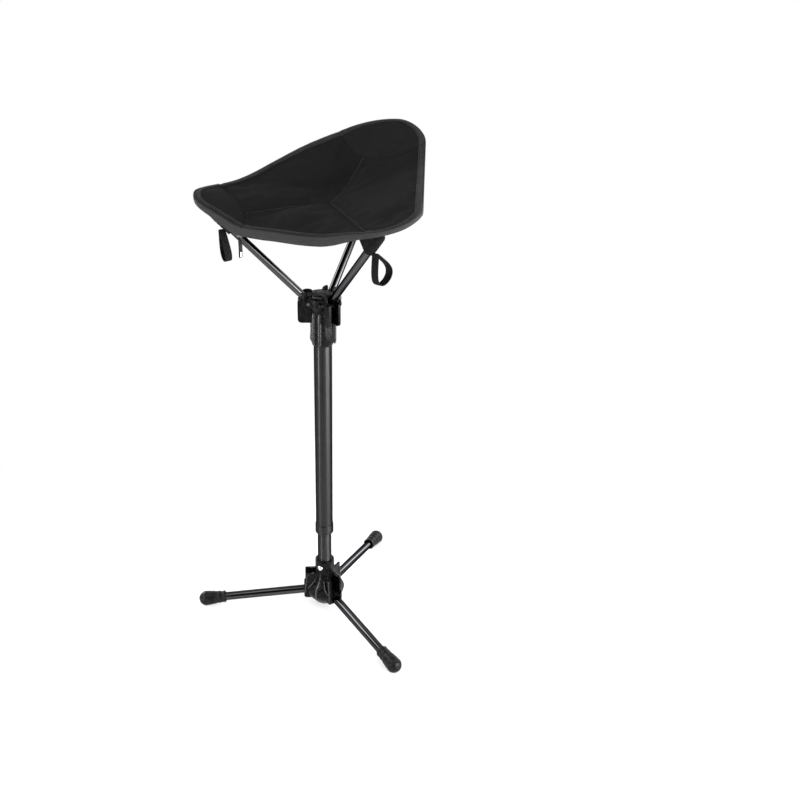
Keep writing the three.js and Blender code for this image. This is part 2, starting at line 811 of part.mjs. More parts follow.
// A closed skin between two heights over the outline, on rings round the middle.
function seatSolid(topOf, underOf, placeOf) {
  const around = stations.length;
  const points = [];
  const faces = [];
  const layers = [topOf, underOf];
  for (const heightOf of layers) {
    points.push(0, 0, heightOf(stations[0], 0));
    for (let ring = 1; ring <= padRings; ring += 1) {
      for (const station of stations) {
        const share = ring / padRings;
        const place = placeOf(station);
        points.push(place.x * share, place.y * share, heightOf(station, share));
      }
    }
  }
  const layerSize = 1 + padRings * around;
  const at = (layer, ring, step) => layer * layerSize + (ring === 0 ? 0 : 1 + (ring - 1) * around + (step % around));
  for (let step = 0; step < around; step += 1) {
    for (let ring = 0; ring < padRings; ring += 1) {
      const top = [at(0, ring, step), at(0, ring + 1, step), at(0, ring + 1, step + 1), at(0, ring, step + 1)];
      const under = [at(1, ring, step), at(1, ring, step + 1), at(1, ring + 1, step + 1), at(1, ring + 1, step)];
      faces.push(top[0], top[1], top[2]);
      faces.push(under[0], under[2], under[3]);
      if (ring === 0) continue;
      faces.push(top[0], top[2], top[3]);
      faces.push(under[0], under[1], under[2]);
    }
    const rim = [at(0, padRings, step), at(1, padRings, step), at(1, padRings, step + 1), at(0, padRings, step + 1)];
    faces.push(rim[0], rim[1], rim[2], rim[0], rim[2], rim[3]);
  }
  const geometry = new THREE.BufferGeometry();
  geometry.setAttribute("position", new THREE.BufferAttribute(Float32Array.from(points), 3));
  geometry.setIndex(faces);
  return solidOf(geometry);
}

const panel = seatSolid(
  (station, share) => seatTop(station, share) + padSwell(station, share),
  (station, share) => seatTop(station, share) - seatThickness(station, share),
  (station) => station.inset,
);
piece("seat_panel", panel, cloth, column);

// A closed band through sections, each a list of points of the same length.
function closedBand(sections) {
  const size = sections[0].length;
  const points = sections.flat().flatMap((point) => [point.x, point.y, point.z]);
  const faces = [];
  sections.forEach((section, index) => {
    const next = (index + 1) % sections.length;
    for (let side = 0; side < size; side += 1) {
      const other = (side + 1) % size;
      const [a, b] = [index * size + side, index * size + other];
      const [c, d] = [next * size + other, next * size + side];
      faces.push(a, b, c, a, c, d);
    }
  });
  const geometry = new THREE.BufferGeometry();
  geometry.setAttribute("position", new THREE.BufferAttribute(Float32Array.from(points), 3));
  geometry.setIndex(faces);
  return solidOf(geometry);
}

// The binding stands round the rim of the pad, a little taller than the pad is there.
const binding = closedBand(
  stations.map((station) => {
    const top = seatTop(station, 1) + bindingLip;
    const under = seatTop(station, 1) - seatThickness(station, 1) - bindingLip;
    const inside = station.place.clone().addScaledVector(station.out, -bindingThickness);
    return [
      new THREE.Vector3(inside.x, inside.y, top),
      new THREE.Vector3(station.place.x, station.place.y, top),
      new THREE.Vector3(station.place.x, station.place.y, under),
      new THREE.Vector3(inside.x, inside.y, under),
    ];
  }),
);
piece("seat_binding", binding, webbing, column);

// Corner pockets: a sleeve round the end of the arm, with its cloth carried up to the seat's underside.

const seatShadow = seatSolid(
  (station, share) => seatTop(station, share) + seatRise,
  (station, share) => seatTop(station, share) - seatThickness(station, share) - fitGap,
  (station) => station.place,
);

function pocket(corner) {
  const mouth = corner.length - pocketLength;
  const end = corner.length + pocketGap + pocketWall;
  const sleeve = bar(pocketOuter, mouth, end);
  const carried = block([-padThickness * 2, -pocketOuter, mouth], [0, pocketOuter, end]);
  const bore = bar(tipRadius + pocketGap, mouth - cutOverrun, corner.length + pocketGap);
  const shape = atAzimuth(moved(sleeve.add(carried).subtract(bore), armPlace), corner.azimuth);
  return shape.subtract(seatShadow);
}

// A pull loop: a teardrop of webbing that hangs across the pocket, in the plane square to the arm.
function pullLoop(corner) {
  const along = corner.length - loopInset;
  const x = armPivotRadius + along * Math.sin(tilt);
  const sleeveFoot = armPivotHeight + along * Math.cos(tilt) - pocketOuter / Math.sin(tilt);
  const top = sleeveFoot - loopWidth / 2 - loopThickness / 2 - fitGap;
  const lean = radians(loopLeans[corner.side]);
  const line = [];
  for (let step = 0; step < loopStations; step += 1) {
    const turn = (2 * Math.PI * step) / loopStations;
    const share = (1 - Math.cos(turn)) / 2;
    const across = (loopSpan / 2) * Math.sin(turn) * Math.sqrt(share) * (1 + share) * loopFullness;
    const down = loopDrop * share;
    const y = across * Math.cos(lean) + down * Math.sin(lean);
    const z = across * Math.sin(lean) - down * Math.cos(lean);
    line.push(new THREE.Vector3(x + loopDrifts[corner.side] * share, y, top + z));
  }
  const half = new THREE.Vector3(loopWidth / 2, 0, 0);
  const band = line.map((point, index) => {
    const before = line[(index + loopStations - 1) % loopStations];
    const after = line[(index + 1) % loopStations];
    const run = after.clone().sub(before).setX(0).normalize();
    const skin = new THREE.Vector3(0, run.z, -run.y).multiplyScalar(loopThickness / 2);
    return [
      point.clone().add(skin).sub(half),
      point.clone().add(skin).add(half),
      point.clone().sub(skin).add(half),
      point.clone().sub(skin).sub(half),
    ];
  });
  return atAzimuth(closedBand(band), corner.azimuth);
}

for (const corner of corners) {
  piece("corner_pocket_" + corner.side, pocket(corner), cloth, column);
  piece("pull_loop_" + corner.side, pullLoop(corner), webbing, column);
}

// Zip: its slider sits under the hem, with a lug on which the fork of the pull hangs.

// The hem's underside at the zip: its place, and a frame whose X axis points outwards.
function zipPlace() {
  const ray = new THREE.Vector2(Math.cos(radians(zipAzimuth)), Math.sin(radians(zipAzimuth)));
  const index = stations.findIndex((station, step) => {
    const next = stations[(step + 1) % stations.length];
    return station.place.cross(ray) >= 0 && next.place.cross(ray) < 0 && station.place.dot(ray) > 0;
  });
  const [from, to] = [stations[index], stations[(index + 1) % stations.length]];
  const share = from.place.cross(ray) / (from.place.cross(ray) - to.place.cross(ray));
  const lowest = Math.min(
    ...[from, to].map((station) => seatTop(station, 1) - seatThickness(station, 1) - bindingLip - fitGap),
  );
  const place = from.place.clone().lerp(to.place, share).addScaledVector(from.out, -sliderInset);
  const turn = new THREE.Matrix4().makeRotationZ(from.out.angle());
  return new THREE.Matrix4().makeTranslation(place.x, place.y, lowest).multiply(turn);
}

const zipFrame = zipPlace();
const zipPinDrop = sliderHeight + lugDepth / 2;

// A cross bar along X at the height of the pull's hinge.
function zipBar(radius, length) {
  const rod = new THREE.CylinderGeometry(radius, radius, length, smallFacets).rotateZ(Math.PI / 2);
  return solidOf(rod.translate(0, 0, -zipPinDrop));
}

function zipSlider() {
  const body = block([-sliderWidth / 2, -sliderLength / 2, -sliderHeight], [sliderWidth / 2, sliderLength / 2, 0]);
  const lugFoot = -sliderHeight - lugDepth;
  const lug = block([-lugWidth / 2, -lugDepth / 2, lugFoot], [lugWidth / 2, lugDepth / 2, -fitGap]);
  return body.add(lug).subtract(zipBar(zipPinRadius + fitGap, sliderWidth));
}

function zipPull() {
  const cheekTop = -zipPinDrop + lugDepth / 2 - fitGap;
  const foot = -zipPinDrop - pullLength;
  const tab = block([-pullWidth / 2, -pullThickness / 2, foot], [pullWidth / 2, pullThickness / 2, cheekTop]);
  const gap = lugWidth / 2 + fitGap;
  const fork = block([-gap, -pullThickness, -zipPinDrop - pullForkDepth], [gap, pullThickness, 0]);
  return tab.subtract(fork).add(zipBar(zipPinRadius, pullWidth - fitGap));
}

piece("zip_slider", moved(zipSlider(), zipFrame), darkSteel, column);
piece("zip_pull", moved(zipPull(), zipFrame), brightSteel, column);

export default stool;
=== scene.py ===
# %% [markdown]
# # A folding telescopic stool
# Three legs fold out of a base hub, two tubes slide and lock to set the height, and three arms fold out of
# a top hub to spread a padded cloth seat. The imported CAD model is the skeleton. Every piece below is a skin
# that sits on it and rides on one of its bodies, so the stool still folds.

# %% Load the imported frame
import math

import bmesh
import bpy
import numpy as np
from mathutils import Matrix, Vector
from mathutils.bvhtree import BVHTree


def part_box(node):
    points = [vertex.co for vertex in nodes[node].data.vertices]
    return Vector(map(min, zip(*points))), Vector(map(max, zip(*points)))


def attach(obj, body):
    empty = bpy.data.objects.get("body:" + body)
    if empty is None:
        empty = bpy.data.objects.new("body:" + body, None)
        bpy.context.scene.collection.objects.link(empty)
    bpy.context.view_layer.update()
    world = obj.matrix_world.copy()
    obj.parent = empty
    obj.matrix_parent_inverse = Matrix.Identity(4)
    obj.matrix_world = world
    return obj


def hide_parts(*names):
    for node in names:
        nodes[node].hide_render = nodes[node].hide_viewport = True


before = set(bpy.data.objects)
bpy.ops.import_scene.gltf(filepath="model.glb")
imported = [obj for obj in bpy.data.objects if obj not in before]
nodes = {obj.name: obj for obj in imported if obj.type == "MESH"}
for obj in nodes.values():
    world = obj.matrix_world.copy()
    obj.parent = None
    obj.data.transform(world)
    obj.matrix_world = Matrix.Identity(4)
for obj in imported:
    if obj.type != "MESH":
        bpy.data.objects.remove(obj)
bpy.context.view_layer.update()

scene = bpy.context.scene
SIDES = ("left", "rear", "right")
MM = 0.001

# %% [markdown]
# ## The camera
# A photograph fixes a camera by where known points land in it. Here the feet, the tubes and the hubs were
# used, and they give a camera 1.1 m in front of the column and 0.85 m above the floor, looking down by 25
# degrees. The stool stands left of the middle of the frame, so the lens is shifted instead of the camera
# being turned.

# %% Place the camera
FLOOR = -4.5 * MM
CAMERA_TURN = math.radians(-1.17)
CAMERA_BACK, CAMERA_HEIGHT = 1.10038, 0.84386
CAMERA_PITCH = math.radians(25.03)
CAMERA_ROLL = -0.0088
LENS, SHIFT_X, SHIFT_Y = 40.368, 0.09586, 0.00066

camera_data = bpy.data.cameras.new("photo_camera")
camera_data.lens, camera_data.sensor_width = LENS, 36.0
camera_data.shift_x, camera_data.shift_y = SHIFT_X, SHIFT_Y
camera_data.clip_start, camera_data.clip_end = 0.05, 60.0
camera = bpy.data.objects.new("photo_camera", camera_data)
scene.collection.objects.link(camera)
turn = Matrix.Rotation(CAMERA_TURN, 4, "Z")
tilt = Matrix.Rotation(math.pi / 2 - CAMERA_PITCH, 4, "X")
roll = Matrix.Rotation(CAMERA_ROLL, 4, "Z")
camera.matrix_world = turn @ Matrix.Translation((0, -CAMERA_BACK, CAMERA_HEIGHT)) @ tilt @ roll
scene.camera = camera
print("camera at", [round(v, 3) for v in camera.matrix_world.translation])

# %% [markdown]
# ## Shader helpers
# A material is a small graph. Four helpers keep its wiring readable: one adds a node and fills its inputs,
# and the others add a noise, a sum and a smooth mapping from one range to another. A node group wraps a
# pattern that several materials share, such as grain or weave, and gives out only numbers that change over
# the surface.

# %% Helpers that add nodes and do sums
def add(tree, kind, settings=(), inputs=()):
    """A node of a kind; settings are its properties, inputs are values or sockets by input name or number."""
    made = tree.nodes.new(kind)
    for key, value in dict(settings).items():
        setattr(made, key, value)
    for key, value in dict(inputs).items():
        if isinstance(value, bpy.types.NodeSocket):
            tree.links.new(value, made.inputs[key])
        else:
            made.inputs[key].default_value = value
    return made


def noise(tree, place, scale, detail):
    """A noise texture read at a place: a smooth random value between 0 and 1, with finer detail added."""
    inputs = {"Vector": place, "Scale": scale, "Detail": detail}
    return add(tree, "ShaderNodeTexNoise", {}, inputs).outputs["Fac"]


def sums(tree, operation, *terms):
    """One Math node on up to three terms, and the socket it gives."""
    return add(tree, "ShaderNodeMath", {"operation": operation}, dict(enumerate(terms))).outputs[0]


def ramp(tree, value, low, high, to_low, to_high):
    """A value mapped smoothly from one range to another."""
    inputs = {"Value": value, "From Min": low, "From Max": high, "To Min": to_low, "To Max": to_high}
    return add(tree, "ShaderNodeMapRange", {"interpolation_type": "SMOOTHSTEP"}, inputs).outputs["Result"]


print("node helpers:", add.__name__, noise.__name__, sums.__name__, ramp.__name__)


# %% Helpers that start a group and place it
def group(name, inputs, outputs):
    """An empty shader node group with float or vector inputs and float outputs, with its two end nodes."""
    tree = bpy.data.node_groups.new(name, "ShaderNodeTree")
    for label, (kind, value) in inputs.items():
        socket = tree.interface.new_socket(name=label, in_out="INPUT", socket_type=kind)
        if kind == "NodeSocketFloat":
            socket.default_value = value
    for label in outputs:
        tree.interface.new_socket(name=label, in_out="OUTPUT", socket_type="NodeSocketFloat")
    return tree, tree.nodes.new("NodeGroupInput"), tree.nodes.new("NodeGroupOutput")


def use(tree, made, inputs=()):
    """A node group placed in a material with its own values."""
    return add(tree, "ShaderNodeGroup", {"node_tree": made}, inputs)


print("group helpers:", group.__name__, use.__name__)


# %% Helpers that start a material
def material(name, color, roughness, **constants):
    """A material, its node tree and its Principled shader, with constants set on the shader's own sockets."""
    made = bpy.data.materials.new(name)
    made.use_nodes = True
    shader = made.node_tree.nodes["Principled BSDF"]
    shader.inputs["Base Color"].default_value = (*color, 1)
    shader.inputs["Roughness"].default_value = roughness
    for label, value in constants.items():
        shader.inputs[label.replace("_", " ")].default_value = value
    return made, made.node_tree, shader


def tinted(tree, factor, dark, light):
    """A colour between two, by a factor."""
    factor_input, dark_input, light_input, colour_output = 0, 6, 7, 2
    inputs = {factor_input: factor, dark_input: (*dark, 1), light_input: (*light, 1)}
    return add(tree, "ShaderNodeMix", {"data_type": "RGBA"}, inputs).outputs[colour_output]


def bumped(tree, shader, height, strength, distance):
    """A bump from a height, wired into a shader's normal."""
    inputs = {"Height": height, "Strength": strength, "Distance": distance}
    tree.links.new(add(tree, "ShaderNodeBump", {}, inputs).outputs[0], shader.inputs["Normal"])


print("material helpers:", material.__name__, tinted.__name__, bumped.__name__)

# %% [markdown]
# ## Shared surface patterns
# Moulded nylon and rubber carry a fine spark-eroded grain with a slow mottle under it. Paint on a tube is
# nearly flat, with a slow ripple and a few dull streaks from handling. Woven cloth is two sets of threads
# that pass over and under each other. Image textures could carry all this, but they blur up close and need
# unwrapped pieces. Sums of noise stay sharp at any distance, so each pattern is a node group, built once
# and used with its own values.

# %% The grain of moulded nylon and rubber
FLOAT, VECTOR = "NodeSocketFloat", "NodeSocketVector"

grain_input = {"Grains per metre": (FLOAT, 1500.0)}
grain, grain_in, grain_out = group("moulded_grain", grain_input, ["Height", "Mottle"])
place_of = add(grain, "ShaderNodeTexCoord").outputs["Object"]
pit_inputs = {"Vector": place_of, "Scale": grain_in.outputs[0]}
pits = add(grain, "ShaderNodeTexVoronoi", {}, pit_inputs).outputs["Distance"]
fine = noise(grain, place_of, 900.0, 3.0)
slow = noise(grain, place_of, 260.0, 6.0)
height = sums(grain, "ADD", sums(grain, "MULTIPLY", pits, 0.5), sums(grain, "MULTIPLY", fine, 0.5))
grain.links.new(height, grain_out.inputs["Height"])
grain.links.new(ramp(grain, slow, 0.36, 0.66, 0.0, 1.0), grain_out.inputs["Mottle"])
print("moulded_grain:", len(grain.nodes), "nodes")

# %% The ripple, streaks and dust of a coated tube
stretch_input = {"Streak stretch": (FLOAT, 12.0)}
ripple, ripple_in, ripple_out = group("tube_ripple", stretch_input, ["Height", "Streaks", "Dust"])
place_of = add(ripple, "ShaderNodeTexCoord").outputs["Object"]
wave = noise(ripple, place_of, 160.0, 2.0)
parts = add(ripple, "ShaderNodeSeparateXYZ", {}, {0: place_of}).outputs
thin_z = sums(ripple, "DIVIDE", parts[2], ripple_in.outputs[0])
along_z = add(ripple, "ShaderNodeCombineXYZ", {}, {0: parts[0], 1: parts[1], 2: thin_z}).outputs[0]
lines = noise(ripple, along_z, 2600.0, 2.0)
dust = noise(ripple, place_of, 45.0, 6.0)
ripple.links.new(wave, ripple_out.inputs["Height"])
ripple.links.new(lines, ripple_out.inputs["Streaks"])
ripple.links.new(ramp(ripple, dust, 0.45, 0.75, 0.0, 1.0), ripple_out.inputs["Dust"])
print("tube_ripple:", len(ripple.nodes), "nodes")

# %% The weave of cloth and webbing
weave, weave_in, weave_out = group(
    "plain_weave", {"Place": (VECTOR, None), "Thread": (FLOAT, 0.0009)}, ["Height", "Warp over"]
)
place_and_thread = {0: weave_in.outputs["Place"], 1: weave_in.outputs["Thread"]}
scaled = add(weave, "ShaderNodeVectorMath", {"operation": "DIVIDE"}, place_and_thread)
cells = add(weave, "ShaderNodeSeparateXYZ", {}, {0: scaled.outputs[0]}).outputs
warp = sums(weave, "SINE", sums(weave, "MULTIPLY", sums(weave, "FRACT", cells[0]), math.pi))
weft = sums(weave, "SINE", sums(weave, "MULTIPLY", sums(weave, "FRACT", cells[1]), math.pi))
count = sums(weave, "ADD", sums(weave, "FLOOR", cells[0]), sums(weave, "FLOOR", cells[1]))
over = sums(weave, "FLOORED_MODULO", count, 2.0)
warp_top = sums(weave, "MULTIPLY", warp, sums(weave, "MULTIPLY_ADD", weft, 0.5, 0.5))
weft_top = sums(weave, "MULTIPLY", weft, sums(weave, "MULTIPLY_ADD", warp, 0.5, 0.5))
gap = sums(weave, "SUBTRACT", warp_top, weft_top)
weave.links.new(sums(weave, "MULTIPLY_ADD", gap, over, weft_top), weave_out.inputs["Height"])
weave.links.new(over, weave_out.inputs["Warp over"])
print("plain_weave:", len(weave.nodes), "nodes")

# %% [markdown]
# ## Finishes
# The hubs are black nylon with a mottled, moulded skin, and their raised beads and ribs are worn to a
# shine. The feet are matt rubber. Legs and arms are gloss black, the inner tube is black and drawn, and the
# outer tube is a dark satin grey. The button and the tip of the zip pull are bright steel, and the pins and
# the slider are dark steel.
#
# Black paint could be a plain black with a clear coat, but a coat goes white along the edges of a thin
# tube. The tubes here are dark metal with a low tint at the edge, so they mirror the lamps as clean streaks
# and stay dark beside them. On the column the shine is also stretched along the tube, as drawing stretches
# it. All constants stay on the shader, and only what changes over the surface is wired.


# %% Moulded nylon and rubber
def grey(level):
    """A grey with a trace of blue, as black plastic and cloth have under daylight."""
    return (level, level, level * 1.04)


def moulded(name, dark, light, rough_low, rough_high, depth, per_metre, shine):
    """Moulded plastic or rubber: mottled in colour and roughness, with a grain bump."""
    made, tree, shader = material(name, light, rough_high, Specular_IOR_Level=shine)
    skin = use(tree, grain, {"Grains per metre": per_metre})
    tree.links.new(tinted(tree, skin.outputs["Mottle"], dark, light), shader.inputs["Base Color"])
    rough = ramp(tree, skin.outputs["Mottle"], 0.0, 1.0, rough_low, rough_high)
    tree.links.new(rough, shader.inputs["Roughness"])
    bumped(tree, shader, skin.outputs["Height"], 0.5, depth)
    return made


hub_nylon = moulded("hub_nylon", grey(0.001), grey(0.005), 0.22, 0.44, 0.00014, 900.0, 0.1)
edge_nylon = moulded("edge_nylon", grey(0.002), grey(0.006), 0.24, 0.3, 0.00002, 1500.0, 0.7)
cap_nylon = moulded("cap_nylon", grey(0.001), grey(0.014), 0.4, 0.7, 0.0003, 700.0, 0.1)
knuckle_nylon = moulded("knuckle_nylon", grey(0.001), grey(0.006), 0.22, 0.42, 0.00012, 1300.0, 0.24)
foot_rubber = moulded("foot_rubber", grey(0.001), grey(0.009), 0.3, 0.6, 0.00022, 800.0, 0.14)
print("moulded finishes:", [m.name for m in bpy.data.materials if m.name.endswith(("nylon", "rubber"))])


# %% Coated and plated tubes
def coated(name, dark, light, rough_low, rough_high, metallic, tint, depth, stretch, drawn=0.0):
    """A painted or plated tube: streaked colour and roughness, a slow ripple, shine drawn along it."""
    edge = (tint, tint, tint, 1)
    constants = {"Metallic": metallic, "Specular_Tint": edge, "Anisotropic": drawn}
    made, tree, shader = material(name, light, rough_low, **constants)
    skin = use(tree, ripple, {"Streak stretch": stretch})
    streak = ramp(tree, skin.outputs["Streaks"], 0.3, 0.7, 0.0, 1.0)
    tree.links.new(tinted(tree, streak, dark, light), shader.inputs["Base Color"])
    rough = ramp(tree, skin.outputs["Dust"], 0.0, 1.0, rough_low, rough_high)
    tree.links.new(rough, shader.inputs["Roughness"])
    bumped(tree, shader, skin.outputs["Height"], 0.3, depth)
    if drawn:
        along = add(tree, "ShaderNodeTangent", {"direction_type": "UV_MAP", "uv_map": "chart"})
        tree.links.new(along.outputs[0], shader.inputs["Tangent"])
    return made


gloss_black = coated("gloss_black", grey(0.058), grey(0.068), 0.05, 0.09, 1.0, 0.02, 0.00001, 8.0)
# The arms take a lighter copy of the legs' gloss black: painted light, so that they read brighter than the
# legs.
arm_black_painted_lighter = coated("arm_black_painted_lighter", grey(0.08), grey(0.095), 0.06, 0.1, 1.0, 0.02, 0.00001, 8.0)
inner_black = coated("inner_black", grey(0.044), grey(0.054), 0.34, 0.4, 1.0, 0.1, 0.00001, 8.0, 1.0)
satin_grey = coated("satin_grey", grey(0.036), grey(0.044), 0.34, 0.42, 1.0, 0.3, 0.00001, 60.0, 0.9)
bright_steel = coated("bright_steel", grey(0.6), grey(0.72), 0.16, 0.3, 1.0, 1.0, 0.00002, 20.0)
dark_steel = coated("dark_steel", grey(0.1), grey(0.16), 0.28, 0.4, 1.0, 0.6, 0.00002, 20.0)
print("coated finishes:", [m.name for m in bpy.data.materials if m.name.endswith(("black", "grey", "steel"))])

# %% [markdown]
# ## Cloth and webbing
# The seat is black Oxford cloth: a plain weave of thick polyester thread, coated on the back. Its threads
# follow the cut of the cloth, so the weave reads the piece's own UV map, which is in metres. Webbing is a
# narrow heavy weave with ribs across it. Real cloth is never one black, so the tone has a slow variation,
# and a point attribute lightens the corner patches, whose second layer of cloth is paler. On the binding
# the same attribute is painted light: it lightens the outer edge and the lower band and darkens the top.

# %% Woven finishes
def woven(name, dark, light, thread, depth, roughness, sheen, stretch=(1.0, 1.0, 1.0)):
    """Cloth whose threads follow the piece's UV map in metres: thread bump, thread tone, slow mottle."""
    made, tree, shader = material(name, light, roughness, Sheen_Weight=sheen, Sheen_Roughness=0.5)
    shader.inputs["Specular IOR Level"].default_value = 0.08
    chart = add(tree, "ShaderNodeUVMap", {"uv_map": "chart"}).outputs[0]
    stretched = add(tree, "ShaderNodeMapping", {}, {"Vector": chart, "Scale": stretch}).outputs[0]
    threads = use(tree, weave, {"Place": stretched, "Thread": thread})
    place_of = add(tree, "ShaderNodeTexCoord").outputs["Object"]
    slow = noise(tree, place_of, 22.0, 6.0)
    # This attribute lightens the paler corner patches; on the binding it is painted light, lighter at the
    # edge and below, darker on top.
    patch = add(tree, "ShaderNodeAttribute", {"attribute_name": "patch"}).outputs["Fac"]
    tone = sums(tree, "MULTIPLY_ADD", threads.outputs["Height"], 0.45, sums(tree, "MULTIPLY", slow, 0.55))
    tone = sums(tree, "MULTIPLY_ADD", patch, 0.25, tone)
    tree.links.new(tinted(tree, tone, dark, light), shader.inputs["Base Color"])
    tree.links.new(ramp(tree, slow, 0.3, 0.7, roughness - 0.06, roughness + 0.04), shader.inputs["Roughness"])
    bumped(tree, shader, threads.outputs["Height"], 0.7, depth)
    return made


oxford_cloth = woven("oxford_cloth", grey(0.002), grey(0.01), 0.0009, 0.00018, 0.9, 0.0)
pocket_cloth = woven("pocket_cloth", grey(0.003), grey(0.01), 0.0009, 0.00016, 0.9, 0.0)
binding_tape = woven("binding_tape", grey(0.002), grey(0.036), 0.0011, 0.0003, 0.8, 0.04, (1.0, 0.45, 1.0))
strap_webbing = woven("strap_webbing", grey(0.003), grey(0.012), 0.0014, 0.0003, 0.8, 0.0, (1.0, 0.5, 1.0))
print("woven finishes:", oxford_cloth.name, pocket_cloth.name, binding_tape.name, strap_webbing.name)

# %% Sewing thread
thread_black, thread_tree, thread_shader = material("thread_black", grey(0.03), 0.6, Specular_IOR_Level=0.2)
strands = use(thread_tree, grain, {"Grains per metre": 4000.0})
thread_tint = tinted(thread_tree, strands.outputs["Mottle"], grey(0.016), grey(0.045))
thread_tree.links.new(thread_tint, thread_shader.inputs["Base Color"])
bumped(thread_tree, thread_shader, strands.outputs["Height"], 0.4, 0.00005)
print("materials so far:", len(bpy.data.materials))

# %% [markdown]
# ## Floor and light
# The object is almost wholly black, so what shows its shape is what it reflects. The background is plain
# white: paper that glows white for the camera and for mirrored rays, but still takes the stool's shadow
# near its feet. The world could be bright as well, but then black nylon would turn grey. So it is white to
# the camera and in a low band that the tubes mirror, and nearly dark for all other light.

# %% Lay the paper
scene.view_settings.view_transform = "Standard"


def white_paper(name, near, far, nearby):
    """Pale paper that takes the stool's shadow near it and passes smoothly to plain white far off."""
    made, tree, shader = material(name, (0.9, 0.9, 0.9), 0.9, Specular_IOR_Level=0.05)
    seen = add(tree, "ShaderNodeLightPath").outputs
    plain = sums(tree, "MAXIMUM", seen["Is Camera Ray"], seen["Is Glossy Ray"])
    plain = sums(tree, "MAXIMUM", plain, seen["Is Transmission Ray"])
    place_of = add(tree, "ShaderNodeTexCoord").outputs["Object"]
    distance = add(tree, "ShaderNodeVectorMath", {"operation": "LENGTH"}, {0: place_of})
    away = ramp(tree, distance.outputs["Value"], near, far, 0.0, 1.0)
    glow = add(tree, "ShaderNodeEmission", {}, {"Color": (1, 1, 1, 1), "Strength": 1.0})
    away = sums(tree, "MULTIPLY_ADD", away, 1 - nearby, nearby)
    mixed = add(tree, "ShaderNodeMixShader", {}, {0: sums(tree, "MULTIPLY", plain, away)})
    tree.links.new(shader.outputs[0], mixed.inputs[1])
    tree.links.new(glow.outputs[0], mixed.inputs[2])
    tree.links.new(mixed.outputs[0], tree.nodes["Material Output"].inputs["Surface"])
    return made


def sweep(name, low, high, finish):
    """One flat sheet of the stage between two opposite corners, level or upright."""
    (x0, y0, z0), (x1, y1, z1) = low, high
    corners = [(x0, y0, z0), (x1, y0, z0), (x1, y1, z1), (x0, y1, z1)]
    mesh = bpy.data.meshes.new(name)
    mesh.from_pydata(corners, [], [(0, 1, 2, 3)])
    mesh.materials.append(finish)
    sheet = bpy.data.objects.new(name, mesh)
    scene.collection.objects.link(sheet)


PAPER, WALL = 6.0, 3.2
SHADOW_NEAR, SHADOW_FAR, GLOW_NEARBY = 0.3, 0.75, 0.4
paper = white_paper("white_paper", SHADOW_NEAR, SHADOW_FAR, GLOW_NEARBY)
sweep("floor", (-PAPER, -PAPER, FLOOR), (PAPER, PAPER, FLOOR), paper)
sweep("backdrop", (-PAPER, WALL, FLOOR), (PAPER, WALL, PAPER), paper)
print("paper:", 2 * PAPER, "m wide, with a wall", WALL, "m behind the column")

# %% Dim the world, but for a white band low down
STUDIO_DIM = 0.05
BAND_LOW, BAND_HIGH = 0.06, 0.2
world = bpy.data.worlds.new("studio")
world.use_nodes = True
scene.world = world
world.node_tree.nodes["Background"].inputs["Color"].default_value = (1, 1, 1, 1)
studio = world.node_tree
seen = add(studio, "ShaderNodeLightPath").outputs
direction = add(studio, "ShaderNodeTexCoord").outputs["Generated"]
height = add(studio, "ShaderNodeSeparateXYZ", {}, {0: direction}).outputs[2]
wall = ramp(studio, sums(studio, "ABSOLUTE", height), BAND_LOW, BAND_HIGH, 1.0, 0.0)
mirror_rays = sums(studio, "MAXIMUM", seen["Is Glossy Ray"], seen["Is Transmission Ray"])
mirrored = sums(studio, "MULTIPLY", mirror_rays, wall)
white = sums(studio, "MAXIMUM", seen["Is Camera Ray"], mirrored)
dim = sums(studio, "MULTIPLY_ADD", white, 1 - STUDIO_DIM, STUDIO_DIM)
studio.links.new(dim, studio.nodes["Background"].inputs["Strength"])
print("world: strength", STUDIO_DIM, "for light, and 1 for the camera")

# %% [markdown]
# ## Lamps
# Ten rectangular lamps stand round the stool, as in a product studio. The two big front ones and the
# overhead one light it evenly. Those behind rim the tubes, the feet and the hubs, so that black parts stand
# out from each other. The low strips stand level with the column: their mirror images are the bright lines
# down the column and the legs. A lamp could be a glowing card, but an area lamp is cleaner to sample and
# stays out of the camera's view.


# %% Set up the lamps
def lamp(name, at, aim, width, height, watts):
    """A rectangular soft lamp at a place, facing a point; the camera never sees the lamp itself."""
    data = bpy.data.lights.new(name, "AREA")
    data.shape, data.size, data.size_y, data.energy = "RECTANGLE", width, height, watts
    light = bpy.data.objects.new(name, data)
    light.location = at
    light.rotation_mode = "QUATERNION"
    light.rotation_quaternion = (Vector(aim) - Vector(at)).to_track_quat("-Z", "Y")
    light.visible_camera = False
    scene.collection.objects.link(light)


# Each lamp: its place and the point it faces in metres, its width and height, and its watts.
LAMPS = {
    "key_left": ((-1.7, -1.5, 1.9), (0, 0, 0.35), 1.2, 1.8, 20),
    "fill_right": ((1.9, -1.2, 1.4), (0, 0, 0.35), 0.9, 1.6, 10),
    "overhead": ((0.1, -0.3, 2.6), (0, 0, 0.3), 2.4, 1.3, 25),
    "front_right": ((0.95, -1.65, 1.2), (0, 0, 0.45), 1.3, 0.8, 18),
    "rear_left": ((-1.7, 0.75, 2.0), (0, 0, 0.2), 1.3, 1.2, 32),
    "rear_right": ((1.9, 1.4, 1.3), (0, 0, 0.2), 1.2, 0.9, 14),
    "low_rear_left": ((-0.8, 1.05, 0.45), (0, 0, 0.35), 0.5, 0.9, 12),
    "low_rear_right": ((1.1, 0.85, 0.45), (0, 0, 0.35), 0.4, 0.9, 7),
    "strip_left": ((-0.98, -0.66, 0.45), (0, 0, 0.3), 0.16, 0.9, 9),
    "strip_right": ((1.1, -0.72, 0.45), (0, 0, 0.3), 1.1, 0.8, 32),
}
for name, (at, aim, width, height, watts) in LAMPS.items():
    lamp(name, at, aim, width, height, watts)
print("lamps:", len(LAMPS), "with", sum(row[-1] for row in LAMPS.values()), "W in all")

